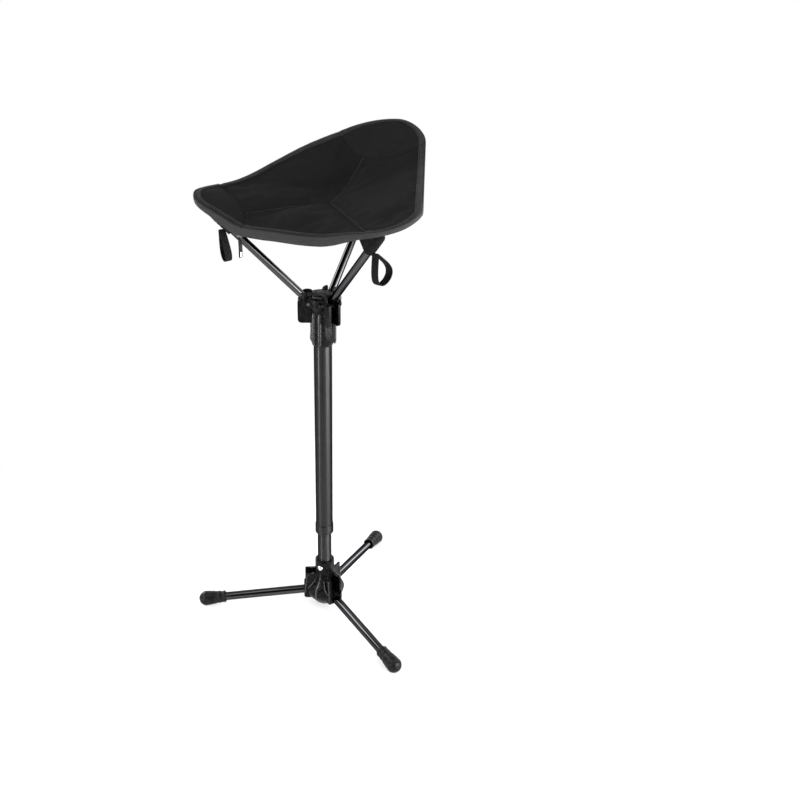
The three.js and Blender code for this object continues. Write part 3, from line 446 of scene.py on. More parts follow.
# %% [markdown]
# ## Making surfaces
# Every new piece is a grid of points worked out with numpy, in millimetres like the CAD: a shape is a
# function of two numbers, one round the piece and one along it. One helper turns such a grid into a closed,
# smooth mesh. Modelling by hand would be quicker for one piece, but a rule can be read, changed and used
# for the next piece too.


# %% A helper that makes a grid a mesh
def surface(name, points, wrap_round=True, wrap_along=False, uv=None, masks=None, sharp=None):
    """Quads between neighbours of an (along, round, 3) grid in mm; doubles merge, so poles close."""
    along, around = points.shape[:2]
    index = np.arange(along * around).reshape(along, around)
    rows = np.arange(along if wrap_along else along - 1)
    columns = np.arange(around if wrap_round else around - 1)
    r, c = np.meshgrid(rows, columns, indexing="ij")
    r2, c2 = (r + 1) % along, (c + 1) % around
    quads = np.stack([index[r, c], index[r, c2], index[r2, c2], index[r2, c]], axis=-1).reshape(-1, 4)
    mesh = bpy.data.meshes.new(name)
    mesh.from_pydata((points * MM).reshape(-1, 3), [], quads)
    for label, values in (masks or {}).items():
        mask = mesh.attributes.new(label, "FLOAT", "POINT")
        mask.data.foreach_set("value", values.astype(np.float32).ravel())
    if uv is not None:
        corner = np.empty(len(mesh.loops), np.int32)
        mesh.loops.foreach_get("vertex_index", corner)
        layer = mesh.uv_layers.new(name="chart")
        layer.data.foreach_set("uv", uv.reshape(-1, 2)[corner].astype(np.float32).ravel())
    return finished(name, mesh, sharp)


def finished(name, mesh, sharp=None):
    """A mesh as an object: doubles merged, faces turned outwards, smooth, and sharp past an angle."""
    work = bmesh.new()
    work.from_mesh(mesh)
    bmesh.ops.remove_doubles(work, verts=work.verts, dist=1e-6)
    bmesh.ops.dissolve_degenerate(work, edges=work.edges, dist=1e-8)
    bmesh.ops.recalc_face_normals(work, faces=work.faces)
    if work.calc_volume(signed=True) < 0:
        bmesh.ops.reverse_faces(work, faces=work.faces)
    work.to_mesh(mesh)
    work.free()
    mesh.polygons.foreach_set("use_smooth", np.ones(len(mesh.polygons), bool))
    if sharp is not None:
        mesh.set_sharp_from_angle(angle=math.radians(sharp))
    piece = bpy.data.objects.new(name, mesh)
    scene.collection.objects.link(piece)
    return piece


print("mesh helpers:", surface.__name__, finished.__name__)


# %% Helpers that move points and round corners
def moved(points, matrix):
    """Points of any grid shape, carried by a 4x4 matrix."""
    m = np.array(matrix)
    return points @ m[:3, :3].T + m[:3, 3]


def eased(profile, radius, steps=4):
    """A closed polyline with each corner cut by a quadratic curve that starts a radius before it."""
    p = np.array(profile, float)
    before, after = np.roll(p, 1, axis=0) - p, np.roll(p, -1, axis=0) - p
    lb, la = np.linalg.norm(before, axis=1, keepdims=True), np.linalg.norm(after, axis=1, keepdims=True)
    start = p + before / lb * np.minimum(radius, lb * 0.45)
    stop = p + after / la * np.minimum(radius, la * 0.45)
    t = np.linspace(0, 1, steps + 1)[None, :, None]
    bend = (1 - t) ** 2 * start[:, None] + 2 * t * (1 - t) * p[:, None] + t**2 * stop[:, None]
    return bend.reshape(-1, 2)


print("a square with its corners eased has", len(eased([[0, 0], [9, 0], [9, 9], [0, 9]], 1)), "points")

# %% A helper that turns a profile
IDENTITY = Matrix.Identity(4)


def revolved(name, profile, matrix=IDENTITY, sides=96, closed=True, sharp=None, floor_at=None):
    """A profile of [r, z] turned about Z: x = r cos a, y = r sin a, and z no lower than floor_at."""
    p = np.array(profile, float)
    a = np.linspace(0, 2 * np.pi, sides, endpoint=False)
    heights = np.repeat(p[:, 1:], sides, axis=1)
    points = moved(np.stack([p[:, :1] * np.cos(a), p[:, :1] * np.sin(a), heights], axis=-1), matrix)
    if floor_at is not None:
        points[..., 2] = np.maximum(points[..., 2], floor_at)
    chart = np.stack(np.broadcast_arrays(p[:, 1:] * MM, a[None, :]), axis=-1)
    return surface(name, points, wrap_along=closed, uv=chart, sharp=sharp)


print("turning helper:", revolved.__name__)


# %% Helpers that dress a CAD solid
def dressed_copy(name, source, edge=0.35, keep_angle=35):
    """A CAD node's mesh under a new name, its flat areas joined up and its hard edges slightly rounded."""
    mesh = bpy.data.meshes.new(name)
    work = bmesh.new()
    work.from_mesh(nodes[source].data)
    bmesh.ops.remove_doubles(work, verts=work.verts, dist=5e-6)
    bmesh.ops.dissolve_limit(work, angle_limit=math.radians(0.6), verts=work.verts, edges=work.edges)
    work.to_mesh(mesh)
    work.free()
    mesh.polygons.foreach_set("use_smooth", np.ones(len(mesh.polygons), bool))
    mesh.set_sharp_from_angle(angle=math.radians(keep_angle))
    piece = bpy.data.objects.new(name, mesh)
    scene.collection.objects.link(piece)
    bevel = piece.modifiers.new("edges", "BEVEL")
    bevel.width, bevel.segments, bevel.limit_method = edge * MM, 2, "ANGLE"
    bevel.angle_limit, bevel.harden_normals = math.radians(keep_angle), True
    return piece


def along_tube(piece):
    """A chart for an upright tube: height and azimuth. Shine is stretched along the first."""
    mesh = piece.data
    corner, spots = np.empty(len(mesh.loops), np.int32), np.empty(len(mesh.vertices) * 3)
    mesh.loops.foreach_get("vertex_index", corner)
    mesh.vertices.foreach_get("co", spots)
    x, y, z = spots.reshape(-1, 3)[corner].T
    chart = np.column_stack([z, np.arctan2(y, x)]).astype(np.float32)
    mesh.uv_layers.new(name="chart").data.foreach_set("uv", chart.ravel())


print("dressing helpers:", dressed_copy.__name__, along_tube.__name__)


# %% Helpers that place a piece
def place(piece, body, finish, slot, *stood_for):
    """A finished piece rides on a body, wears a material and stands for CAD nodes; the slot is not used."""
    piece.data.materials.clear()
    piece.data.materials.append(finish)
    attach(piece, body)
    if stood_for:
        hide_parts(*stood_for)
    return piece


def limb(radius, height, lean, azimuth):
    """The frame of a leg or arm: Z runs along it from its pivot, tipped outwards from straight up."""
    out = Matrix.Rotation(math.radians(azimuth), 4, "Z")
    return out @ Matrix.Translation((radius, 0, height)) @ Matrix.Rotation(math.radians(lean), 4, "Y")


print("placing helpers:", place.__name__, limb.__name__)

# %% [markdown]
# ## Base hub
# The hub is one nylon moulding: a bowl, three ears that hold the legs, and a collar for the inner tube. Its
# slots and arches come from cuts, which the CAD solid already has, so the hub is that solid with its edges
# softened, as a mould leaves them. Modelling it afresh would only risk a gap at the pins.

# %% Dress the base hub
HUB_EDGE = 0.7
place(dressed_copy("base_hub_body", "base_hub", HUB_EDGE), "base", hub_nylon, "hub_nylon", "base_hub")
print("base hub: edges rounded by", HUB_EDGE, "mm")

# %% [markdown]
# ## Mould beads
# Thin raised beads run down the bowl: one beside each ear, one in the hollow next to it, and one midway
# between two ears. Rubbed by hands and bags, they catch the light. They could be part of the hub's mesh,
# but its surface is cut in many faces there. So each bead is a line of places found by rays that meet the
# hub from outside, smoothed, with a round section carried along it.


# %% Find places on the hub's skin
hub_mesh = nodes["base_hub"].data
hub_faces = [tuple(f.vertices) for f in hub_mesh.polygons]
hub_skin = BVHTree.FromPolygons([v.co for v in hub_mesh.vertices], hub_faces)


def on_hub(azimuth, height):
    """Where a level ray from outside, at an azimuth in degrees and a height in mm, meets the base hub."""
    way = Vector((math.cos(math.radians(azimuth)), math.sin(math.radians(azimuth)), 0))
    return np.array(hub_skin.ray_cast(way * 0.07 + Vector((0, 0, height * MM)), -way)[0]) / MM


print("the bowl is", round(2 * float(np.linalg.norm(on_hub(60, 20)[:2]))), "mm across at 20 mm up")


# %% Lay the beads
def bead(line, radius):
    """A round bead along a line of points round Z: rings square to its run, drawn in at both ends."""
    run = np.gradient(line, axis=0)
    run /= np.linalg.norm(run, axis=1, keepdims=True)
    outward = line * np.array([1.0, 1.0, 0.0])
    side = np.cross(run, outward)
    side /= np.linalg.norm(side, axis=1, keepdims=True)
    above = np.cross(side, run)
    a = np.linspace(0, 2 * np.pi, 16, endpoint=False)
    size = radius * np.sqrt(np.maximum(1 - np.abs(np.linspace(-1, 1, len(line))) ** 8, 0))
    ring = np.cos(a)[None, :, None] * side[:, None] + np.sin(a)[None, :, None] * above[:, None]
    return line[:, None] + size[:, None, None] * ring


LEG_AZIMUTHS = {"left": 180, "rear": 60, "right": -60}
BEAD_RADIUS, BEAD_STEPS, BEAD_SMOOTHING = 1.15, 41, 6
# Each bead: turns from the ear's middle in degrees, and the heights in mm that go with them.
BEADS = {
    "cheek": ([20.9, 20.4, 19.9, 19.0, 18.4], [53.5, 45, 36, 28, 18]),
    "fillet": ([36, 33, 31, 26, 20.5], [44, 38.7, 34.3, 29.5, 26.6]),
    "middle": ([60, 60, 60, 60, 60], [53, 45, 36, 27, 17]),
}


def bead_line(azimuth, turns, heights):
    """Places on the hub through stated turns from an azimuth and their heights, smoothed along the line."""
    share = np.linspace(0, len(turns) - 1, BEAD_STEPS)
    turn, height = np.interp(share, range(len(turns)), turns), np.interp(share, range(len(turns)), heights)
    line = np.array([on_hub(azimuth + t, h) for t, h in zip(turn, height)])
    for _ in range(BEAD_SMOOTHING):
        line[1:-1] = (line[:-2] + 2 * line[1:-1] + line[2:]) / 4
    return line


for ear, azimuth in LEG_AZIMUTHS.items():
    for label, (turns, heights) in BEADS.items():
        for side_name, hand in (("a", 1), ("b", -1)) if label != "middle" else (("a", 1),):
            line = bead_line(azimuth, hand * np.array(turns), heights)
            bar = surface(f"hub_{label}_{ear}_{side_name}", bead(line, BEAD_RADIUS))
            place(bar, "base", edge_nylon, "hub_nylon")

# %% [markdown]
# ## Inner tube and snap button
# The inner tube slides in the outer one and is held in the hub by a snap button, a bright turned steel pin
# with a small dimple. The tube is the CAD solid with a chart that runs along it. The button is a turned
# profile, because its rounded nose is what shows.

# %% Dress the inner tube and turn the button
COLUMN_TURN = -2.0
BUTTON_AZIMUTH, BUTTON_HEIGHT = -120.0, 64.0
BUTTON_OUTLINE = [
    [0, 6.7], [5, 6.7], [5, 7.9], [4, 7.9], [4, 14.3], [3.1, 15.2], [1.4, 15.5], [0.9, 15.1], [0, 15.0],
]
inner = dressed_copy("inner_tube_skin", "inner_tube", 0.25)
along_tube(inner)
place(inner, "base", inner_black, "black_gloss_tube", "inner_tube")

button_profile = eased(BUTTON_OUTLINE, 0.5)
button_profile[:, 0] = np.maximum(button_profile[:, 0], 0)
out = Matrix.Rotation(math.radians(BUTTON_AZIMUTH), 4, "Z") @ Matrix.Rotation(math.pi / 2, 4, "Y")
button_place = Matrix.Translation((0, 0, BUTTON_HEIGHT)) @ out
button = revolved("button_head", button_profile, button_place, 64, sharp=40)
place(button, "snap_button", bright_steel, "bright_steel", "snap_button")
print("button: stands at", BUTTON_HEIGHT, "mm, with", len(button.data.polygons), "faces")

# %% [markdown]
# ## Legs and feet
# Each leg is a gloss tube on a nylon knuckle, with a rubber foot pushed over its end. A foot is a ribbed
# sleeve that swells into a round toe and is flat where it stands. It is a turned profile, and the flat is
# made by stopping every point at the floor, so the toe keeps its roundness right down to the ground.

# %% Shape the foot
LEG_END, LEG_DROP = 158.5, 25.2 - 10.5
LEG_DROOP = math.degrees(math.asin(LEG_DROP / LEG_END))
NECK_RADIUS, TOE_RADIUS = 8.8, 10.9
SLEEVE_LENGTH, SLEEVE_LIP = 29, 1.2
RING_HEIGHT, RING_COUNT = 0.28, 3.5

neck = np.linspace(0, 1, 60)
rib_wave = RING_HEIGHT * np.cos(neck * 2 * np.pi * RING_COUNT) * np.clip(1.6 - 2 * neck, 0, 1)
sleeve_radius = NECK_RADIUS + (TOE_RADIUS - NECK_RADIUS) * (neck * neck * (3 - 2 * neck)) ** 1.4
along = LEG_END - SLEEVE_LENGTH + SLEEVE_LIP + neck * (SLEEVE_LENGTH - SLEEVE_LIP)
toe = np.linspace(0, np.pi / 2, 26)[1:]
foot_profile = np.vstack(
    [
        [[6.3, 153.5], [6.3, 130.6], [6.9, 129.6], [8.2, 129.5]],
        np.column_stack([sleeve_radius + rib_wave - RING_HEIGHT, along]),
        np.column_stack([TOE_RADIUS * np.cos(toe), LEG_END + TOE_RADIUS * np.sin(toe)]),
        [[0, 153.5]],
    ]
)
foot_reach = float(foot_profile[:, 1].max())
print("foot: ends", round(foot_reach, 1), "mm from its pivot; the leg droops", round(LEG_DROOP, 1), "degrees")

# %% Turn the legs and the feet
LEG_PIVOT_RADIUS, LEG_PIVOT_HEIGHT = 20, 20.7
leg_profile = eased([[4.9, 9.3], [6, 9.3], [6, 153.2], [4.9, 153.2]], 0.3)
for side, azimuth in LEG_AZIMUTHS.items():
    frame_of_leg = limb(LEG_PIVOT_RADIUS, LEG_PIVOT_HEIGHT, 90 + LEG_DROOP, azimuth)
    body = "leg_" + side
    tube = revolved("leg_skin_" + side, leg_profile, frame_of_leg)
    place(tube, body, gloss_black, "black_gloss_tube", "leg_tube_" + side)
    rubber = revolved("foot_skin_" + side, foot_profile, frame_of_leg, 96, floor_at=FLOOR / MM, sharp=60)
    place(rubber, body, foot_rubber, "rubber", "foot_" + side)
    knuckle = dressed_copy("leg_joint_" + side, "leg_knuckle_" + side, 0.3)
    place(knuckle, body, knuckle_nylon, "hub_nylon", "leg_knuckle_" + side)
    print("leg", side, "at", azimuth, "degrees")

# %% [markdown]
# ## Outer tube and end bush
# The outer tube is plain drawn tube in a satin grey. The bush at its foot is seen as a thin lip that stands
# just proud of the tube. Both are turned profiles with eased corners, because a sharp corner never catches
# light.

# %% Turn the outer tube and its bush
to_column = Matrix.Rotation(math.radians(COLUMN_TURN), 4, "Z")
tube_profile = eased([[11.2, 122.8], [12.2, 122.8], [12.2, 450.8], [11.2, 450.8]], 0.3)
outer = revolved("outer_tube_skin", tube_profile, to_column, 128)
place(outer, "column", satin_grey, "grey_tube", "outer_tube")
lip_outline = [[10.3, 121], [12.2, 121], [13.1, 122], [13.1, 135], [12.5, 135.2], [12.5, 122.5]]
sleeve_outline = [[10.9, 122.5], [10.9, 145], [10.3, 145]]
bush_profile = eased(lip_outline + sleeve_outline, 0.35)
bush = revolved("end_bush_skin", bush_profile, to_column, 128, sharp=50)
place(bush, "column", satin_grey, "grey_tube", "end_bush")
print("outer tube:", round(tube_profile[:, 1].max() - tube_profile[:, 1].min()), "mm long")

# %% [markdown]
# ## Top hub
# The top hub is a barrel round the end of the outer tube with three slotted ears, closed by a domed cap.
# Like the base hub it is a moulding with cuts in it, so it is the CAD solid with softened edges. The cap is
# a turned profile, flat over most of its width and rounded fast at its rim.

# %% Dress the top hub and turn its cap
TOP_HUB_EDGE = 0.6
place(dressed_copy("top_hub_body", "top_hub", TOP_HUB_EDGE), "column", hub_nylon, "hub_nylon", "top_hub")
dome = np.linspace(0, np.pi / 2, 20)
cap_profile = np.vstack(
    [
        [[0, 469.6], [4.6, 469.6], [5, 470], [5, 477.9], [14.2, 477.9], [14.5, 478.2], [14.5, 480.2]],
        np.column_stack([14.5 * np.cos(dome) ** 0.5, 480.4 + 2.6 * np.sin(dome) ** 0.8]),
    ]
)
cap = revolved("top_cap_skin", cap_profile, to_column, 96, closed=False, sharp=50)
place(cap, "column", cap_nylon, "hub_nylon", "top_hub_cap")
print("cap: top at", round(float(cap_profile[:, 1].max()), 1), "mm")

# %% [markdown]
# ## Ribs and cheeks of the top hub
# The barrel is stiffened by six upright ribs, one on each side of each ear, and every ear has a thicker pad
# moulded on its two cheeks where the pin goes through. Both are bars with a squarish section that round off
# at their ends. A superellipse gives that section, and its power sets how square it is.

# %% Mould the ribs
ARM_AZIMUTHS = {"left": 178, "rear": 58, "right": -62}
ARM_LENGTHS = {"left": 162.6, "rear": 229.0, "right": 162.6}


def rounded_bar(across, out, length, square=2.6, rings=26, sides=32):
    """A bar along Z: a superellipse of half widths across and out, drawn in at both ends."""
    a = np.linspace(0, 2 * np.pi, sides, endpoint=False)
    c, s = np.cos(a), np.sin(a)
    ring_x = np.sign(c) * np.abs(c) ** (2 / square) * out
    ring_y = np.sign(s) * np.abs(s) ** (2 / square) * across
    v = np.sin(np.linspace(-np.pi / 2, np.pi / 2, rings))
    size = (1 - np.abs(v) ** 14)[:, None]
    rise = np.broadcast_to((v[:, None] + 1) / 2 * length, (rings, sides))
    return np.stack([ring_x * size, ring_y * size, rise], axis=-1)


def turned_out(azimuth, radius, height):
    """A place on the hub: a radius out at an azimuth and a height, with X pointing outwards."""
    return Matrix.Rotation(math.radians(azimuth), 4, "Z") @ Matrix.Translation((radius, 0, height))


RIB_TURN, RIB_RADIUS, RIB_FOOT, RIB_LENGTH = 44, 16.4, 414.0, 46
for number, azimuth in enumerate([a + step for a in ARM_AZIMUTHS.values() for step in (-RIB_TURN, RIB_TURN)]):
    rib = moved(rounded_bar(2.6, 2.1, RIB_LENGTH, 2.0), turned_out(azimuth, RIB_RADIUS, RIB_FOOT))
    place(surface(f"barrel_rib_{number}", rib), "column", edge_nylon, "hub_nylon")
print("ribs:", number + 1, "of", RIB_LENGTH, "mm")

# %% Mould the cheeks
CHEEK_OFFSET, CHEEK_RADIUS, CHEEK_FOOT, CHEEK_LENGTH = 7.3, 19.4, 465.5, 20.5
for side, azimuth in ARM_AZIMUTHS.items():
    for cheek, offset in (("a", -CHEEK_OFFSET), ("b", CHEEK_OFFSET)):
        lug = rounded_bar(6.4, 1.5, CHEEK_LENGTH, 4.0)[..., [1, 0, 2]] + np.array([0, offset, 0])
        lug = surface(f"ear_cheek_{side}_{cheek}", moved(lug, turned_out(azimuth, CHEEK_RADIUS, CHEEK_FOOT)))
        place(lug, "column", cap_nylon, "hub_nylon")
print("cheeks: two on each of", len(ARM_AZIMUTHS), "ears")

# %% [markdown]
# ## Arms
# Three gloss tubes lean out from the hub at 45 degrees and carry the seat. Each turns on a nylon knuckle
# and ends in a rubber cap, which sits in a pocket of the seat. The rear arm is longer, because that corner
# of the seat is higher.

# %% Turn the arms
ARM_PIVOT_RADIUS, ARM_PIVOT_HEIGHT, ARM_LEAN = 18, 471.8, 45
for side, azimuth in ARM_AZIMUTHS.items():
    length, body = ARM_LENGTHS[side], "arm_" + side
    frame_of_arm = limb(ARM_PIVOT_RADIUS, ARM_PIVOT_HEIGHT, ARM_LEAN, azimuth)
    end = length - 3.3
    tube = revolved("arm_skin_" + side, eased([[4, 7.3], [5, 7.3], [5, end], [4, end]], 0.3), frame_of_arm)
    place(tube, body, arm_black_painted_lighter, "black_gloss_tube", "arm_tube_" + side)
    knuckle = dressed_copy("arm_joint_" + side, "arm_knuckle_" + side, 0.3)
    place(knuckle, body, knuckle_nylon, "hub_nylon", "arm_knuckle_" + side)
    crown = np.linspace(0, np.pi / 2, 12)
    face = length - 3
    sleeve = [[0, face], [5.3, face], [5.3, length - 15], [5.9, length - 15.1], [6.1, length - 14.8]]
    tip_profile = np.vstack([sleeve, np.column_stack([6.1 * np.cos(crown) ** 0.7, face + 3 * np.sin(crown)])])
    tip = revolved("arm_end_" + side, tip_profile, frame_of_arm, 64, closed=False, sharp=50)
    place(tip, body, foot_rubber, "rubber", "arm_tip_" + side)
    print("arm", side, "is", round(length), "mm long")

# %% [markdown]
# ## Shape of the seat
# The seat is a rounded triangle of foam in cloth. Its corners are held up by the arms and its middle sinks,
# so each ray from the middle to the hem is a parabola, and the height of the hem changes round the outline.
# All of this is the CAD's own rule, written again for whole arrays, so that the cloth lies where the solid
# is. Only the rear of the hem stands up to 4 mm higher here, where the tape is drawn tight over the corner.


# %% The outline of the seat
# Each corner: its azimuth, how far it reaches from the column, and its radius.
CORNERS = {"rear": (60, 210.93, 64), "left": (180, 156.97, 42), "right": (-60, 183.97, 42)}


def outline(spacing):
    """Three corner arcs joined by straight tangents, as rows of place and outward direction."""
    centres, radii = [], []
    for azimuth, far, radius in CORNERS.values():
        a = math.radians(azimuth)
        centres.append(np.array([math.cos(a), math.sin(a)]) * (far - radius))
        radii.append(radius)
    normals = []
    for k in range(3):
        gap = centres[(k + 1) % 3] - centres[k]
        lean = math.acos((radii[k] - radii[(k + 1) % 3]) / np.linalg.norm(gap))
        normals.append(math.atan2(gap[1], gap[0]) - lean)
    places, outs = [], []
    for k in range(3):
        bend = (normals[k] - normals[k - 1]) % (2 * math.pi)
        steps = max(8, round(bend * radii[k] / spacing))
        t = normals[k - 1] + bend * np.linspace(0, 1, steps, endpoint=False)
        arc = np.column_stack([np.cos(t), np.sin(t)])
        places.append(centres[k] + arc * radii[k])
        outs.append(arc)
        away = np.array([math.cos(normals[k]), math.sin(normals[k])])
        first, last = centres[k] + away * radii[k], centres[(k + 1) % 3] + away * radii[(k + 1) % 3]
        s = np.linspace(0, 1, round(np.linalg.norm(last - first) / spacing), endpoint=False)[:, None]
        places.append(first * (1 - s) + last * s)
        outs.append(np.repeat(away[None], len(s), axis=0))
    return np.vstack(places), np.vstack(outs)


HEM_INSET = 2.1
rim_place, rim_out = outline(0.5)
rim_inset = rim_place - rim_out * HEM_INSET
rim_turn = np.mod(np.degrees(np.arctan2(rim_inset[:, 1], rim_inset[:, 0])), 360)
rim_order = np.argsort(rim_turn)
rim_turn, rim_reach = rim_turn[rim_order], np.linalg.norm(rim_inset, axis=1)[rim_order]
print("outline:", len(rim_place), "points,", round(rim_reach.min()), "to", round(rim_reach.max()), "mm out")

# %% The height of the hem
SEAT_CENTRE, SEAT_RISE = 596.93, 77.0
HEM_TURNS = np.array(
    [0, 30, 45, 60, 90, 120, 150, 170, 180, 190, 200, 210, 240, 270, 285, 298, 308, 330], float
)
RIGHT_AND_REAR_RISES = [0.42, 0.5, 0.77, 0.98, 0.75, 0.49, 0.26, 0.2, 0.18]
LEFT_AND_FRONT_RISES = [0.07, -0.07, -0.18, -0.18, -0.14, 0, 0.15, 0.28, 0.37]
HEM_RISES = np.array(RIGHT_AND_REAR_RISES + LEFT_AND_FRONT_RISES)


def hem_share(turn):
    """The hem's rise at an azimuth: cubics between the table's neighbours, with shared slopes."""
    x = np.concatenate([HEM_TURNS - 360, HEM_TURNS, HEM_TURNS + 360])
    y = np.tile(HEM_RISES, 3)
    slope = (np.roll(y, -1) - np.roll(y, 1)) / (np.roll(x, -1) - np.roll(x, 1))
    turn = np.mod(turn, 360)
    i = np.searchsorted(x, turn, side="right") - 1
    span = x[i + 1] - x[i]
    t = (turn - x[i]) / span
    rise = (2 * t**3 - 3 * t**2 + 1) * y[i] + (3 * t**2 - 2 * t**3) * y[i + 1]
    return rise + (t**3 - 2 * t**2 + t) * span * slope[i] + (t**3 - t**2) * span * slope[i + 1]


hem_heights = SEAT_CENTRE + SEAT_RISE * hem_share(np.arange(360))
print("hem: from", round(hem_heights.min()), "to", round(hem_heights.max()), "mm high")


# %% The top and the thickness of the seat
def polar(x, y):
    """The azimuth of a point in degrees, and how far it is to the hem: 0 in the middle and 1 at the hem."""
    turn = np.mod(np.degrees(np.arctan2(y, x)), 360)
    return turn, np.hypot(x, y) / np.interp(turn, rim_turn, rim_reach, period=360)


def seat_top(x, y):
    """Height of the seat's plain top: the hem's rise grows with the square of the share of the way out."""
    turn, share = polar(x, y)
    return SEAT_CENTRE + SEAT_RISE * hem_share(turn) * share**2


def smooth(low, high, value):
    """0 below low, 1 above high, and a smooth step between."""
    t = np.clip((value - low) / (high - low), 0, 1)
    return t * t * (3 - 2 * t)


def seat_depth(x, y):
    """Thickness: 12 mm in the middle, 9 mm at the hem, and 4 mm over the corner pockets."""
    middle_depth, hem_depth, pocket_depth = 12, 9, 4
    turn, share = polar(x, y)
    plain = middle_depth + (hem_depth - middle_depth) * np.clip(share, 0, 1) ** 6
    off = np.abs(np.mod(turn[..., None] - np.array([60, 180, 300]) + 180, 360) - 180)
    near = (1 - smooth(8, 24, off)).max(axis=-1)
    return plain + (pocket_depth - plain) * near * smooth(0.55, 0.75, share)


print("the foam is", round(float(seat_depth(np.array([0.0]), np.array([0.0]))[0])), "mm thick in the middle")

# %% [markdown]
# ## Seams and patches of the seat
# Three foam panels meet in a Y of sewn seams. A seam is a thin dark groove, and the allowance folded under
# one side of it lifts a soft ridge. The rear seam is pressed nearly flat. Two corners carry a second layer
# of cloth over the foam, one with an arc for its edge and one with a slanted line. The seams could be cut
# into the mesh as loops of edges. Here each is a height added to the plain top, worked out from the
# distance to a line, so it can be moved.


# %% Where the seams run
MEETING = np.array([8.0, 3.0])
# Each seam: where it ends at the hem, and the side of its ridge.
SEAM_ENDS = {"left": (-112, -38.5, 1), "rear": (68.6, 176, -1), "right": (46, -146, 1)}
SEAM_LIFTS = {"left": 1.0, "rear": 0.35, "right": 1.0}


def seam_distances(x, y):
    """For each seam: distance off its line, positive on the ridge side, and distance along it."""
    rows = []
    for end_x, end_y, ridge in SEAM_ENDS.values():
        u = np.array([end_x, end_y]) - MEETING
        u = u / np.linalg.norm(u)
        dx, dy = x - MEETING[0], y - MEETING[1]
        rows.append((ridge * (dy * u[0] - dx * u[1]), dx * u[0] + dy * u[1]))
    return rows


for side, (end_x, end_y, ridge) in SEAM_ENDS.items():
    print("seam", side, "is", round(math.hypot(end_x - MEETING[0], end_y - MEETING[1])), "mm long")


# %% Where the corner patches lie
PATCH_EDGE_ACROSS = [-70, -49, -32, -21, -10, 4, 15, 25, 45, 60]
PATCH_EDGE_REACH = [-94, -92.8, -92.4, -95.5, -101, -108.4, -114, -118, -124, -126]
PATCH_EDGE_SLANT = 1.12
REAR_WAY_X, REAR_WAY_Y = 0.53, 0.848
REAR_ARC_AT, REAR_ARC_MIDDLE, REAR_ARC_BEND = 138, 8, 0.006


def turned_by(angle, x, y):
    """A point turned about the column's axis by an angle in degrees."""
    a = math.radians(angle)
    return x * math.cos(a) - y * math.sin(a), x * math.sin(a) + y * math.cos(a)


def patch_distances(x, y):
    """How far a point lies inside each patch: the rear one ends in an arc, the left one in a slanted line."""
    wx, wy = turned_by(COLUMN_TURN, x, y)
    along, across = wx * REAR_WAY_X + wy * REAR_WAY_Y, -wx * REAR_WAY_Y + wy * REAR_WAY_X
    off = across - REAR_ARC_MIDDLE
    rear = (along - REAR_ARC_AT - REAR_ARC_BEND * off**2) / np.sqrt(1 + (2 * REAR_ARC_BEND * off) ** 2)
    edge = np.interp(wy, PATCH_EDGE_ACROSS, PATCH_EDGE_REACH)
    return {"rear": rear, "left": (edge - wx) / PATCH_EDGE_SLANT}


def patch_mask(x, y):
    """1 on a corner patch and 0 off it."""
    return np.maximum.reduce([smooth(-0.4, 0.9, d) for d in patch_distances(x, y).values()])


print("a patch covers the rear corner:", bool(patch_mask(np.array([80.0]), np.array([150.0]))[0] > 0.5))


# %% What sewing does to the height
GROOVE_DEPTH, GROOVE_WIDTH = 0.9, 1.3
RIDGE_HEIGHT, RIDGE_OFFSET, RIDGE_WIDTH = 0.8, 4.6, 3.0
PATCH_STEP, PATCH_GROOVE, PATCH_GROOVE_WIDTH = 1.9, 1.3, 1.5
PUFF_HEIGHT, PUFF_FROM_SEAM, PUFF_FROM_HEM, PUFF_SINK = 3.0, 17, 15, 0.8
PATCH_EASE, HEM_EASE = 16, 3.0


def sewn_height(x, y, e):
    """What sewing adds to the top: bell curves sink seams and lift ridges, and panels puff up between."""
    near = np.full(np.shape(x), 1e3)
    height = np.zeros(np.shape(x))
    covered = patch_mask(x, y)
    groove = np.zeros(np.shape(x))
    for (off, run), lift in zip(seam_distances(x, y), SEAM_LIFTS.values()):
        gap = np.where(run > 0, np.abs(off), np.hypot(off, run))
        near = np.minimum(near, gap)
        sunk = GROOVE_DEPTH * lift * np.exp(-((gap / GROOVE_WIDTH) ** 2)) * (1 - covered)
        groove = np.minimum(groove, -sunk)
        fade = smooth(-2, 3, run) * (1 - covered)
        height += fade * RIDGE_HEIGHT * lift * np.exp(-(((off - RIDGE_OFFSET) / RIDGE_WIDTH) ** 2))
    inwards = np.maximum(e, 0)
    from_seam, from_hem = 1 - np.exp(-near / PUFF_FROM_SEAM), 1 - np.exp(-inwards / PUFF_FROM_HEM)
    puff = PUFF_HEIGHT * from_seam * from_hem - PUFF_SINK
    for d in patch_distances(x, y).values():
        groove = groove - PATCH_GROOVE * np.exp(-((d / PATCH_GROOVE_WIDTH) ** 2))
        full = 1 - np.exp(-np.maximum(d, 0) / PATCH_EASE)
        puff = puff + PATCH_STEP * smooth(0, 2.5, d) * (0.45 + 0.55 * full)
    return (height + groove + puff) * (1 - np.exp(-inwards / HEM_EASE))


print("sewing: grooves of", GROOVE_DEPTH, "mm, ridges of", RIDGE_HEIGHT, "mm, patches of", PATCH_STEP, "mm")

# %% A table for the swell of the foam, and the two faces of the pad
CELL = 2.5
TABLE_LOW, TABLE_SIZE = np.array([-180.0, -190.0]), (136, 164)
swell = {"top": np.zeros(TABLE_SIZE), "under": np.zeros(TABLE_SIZE)}


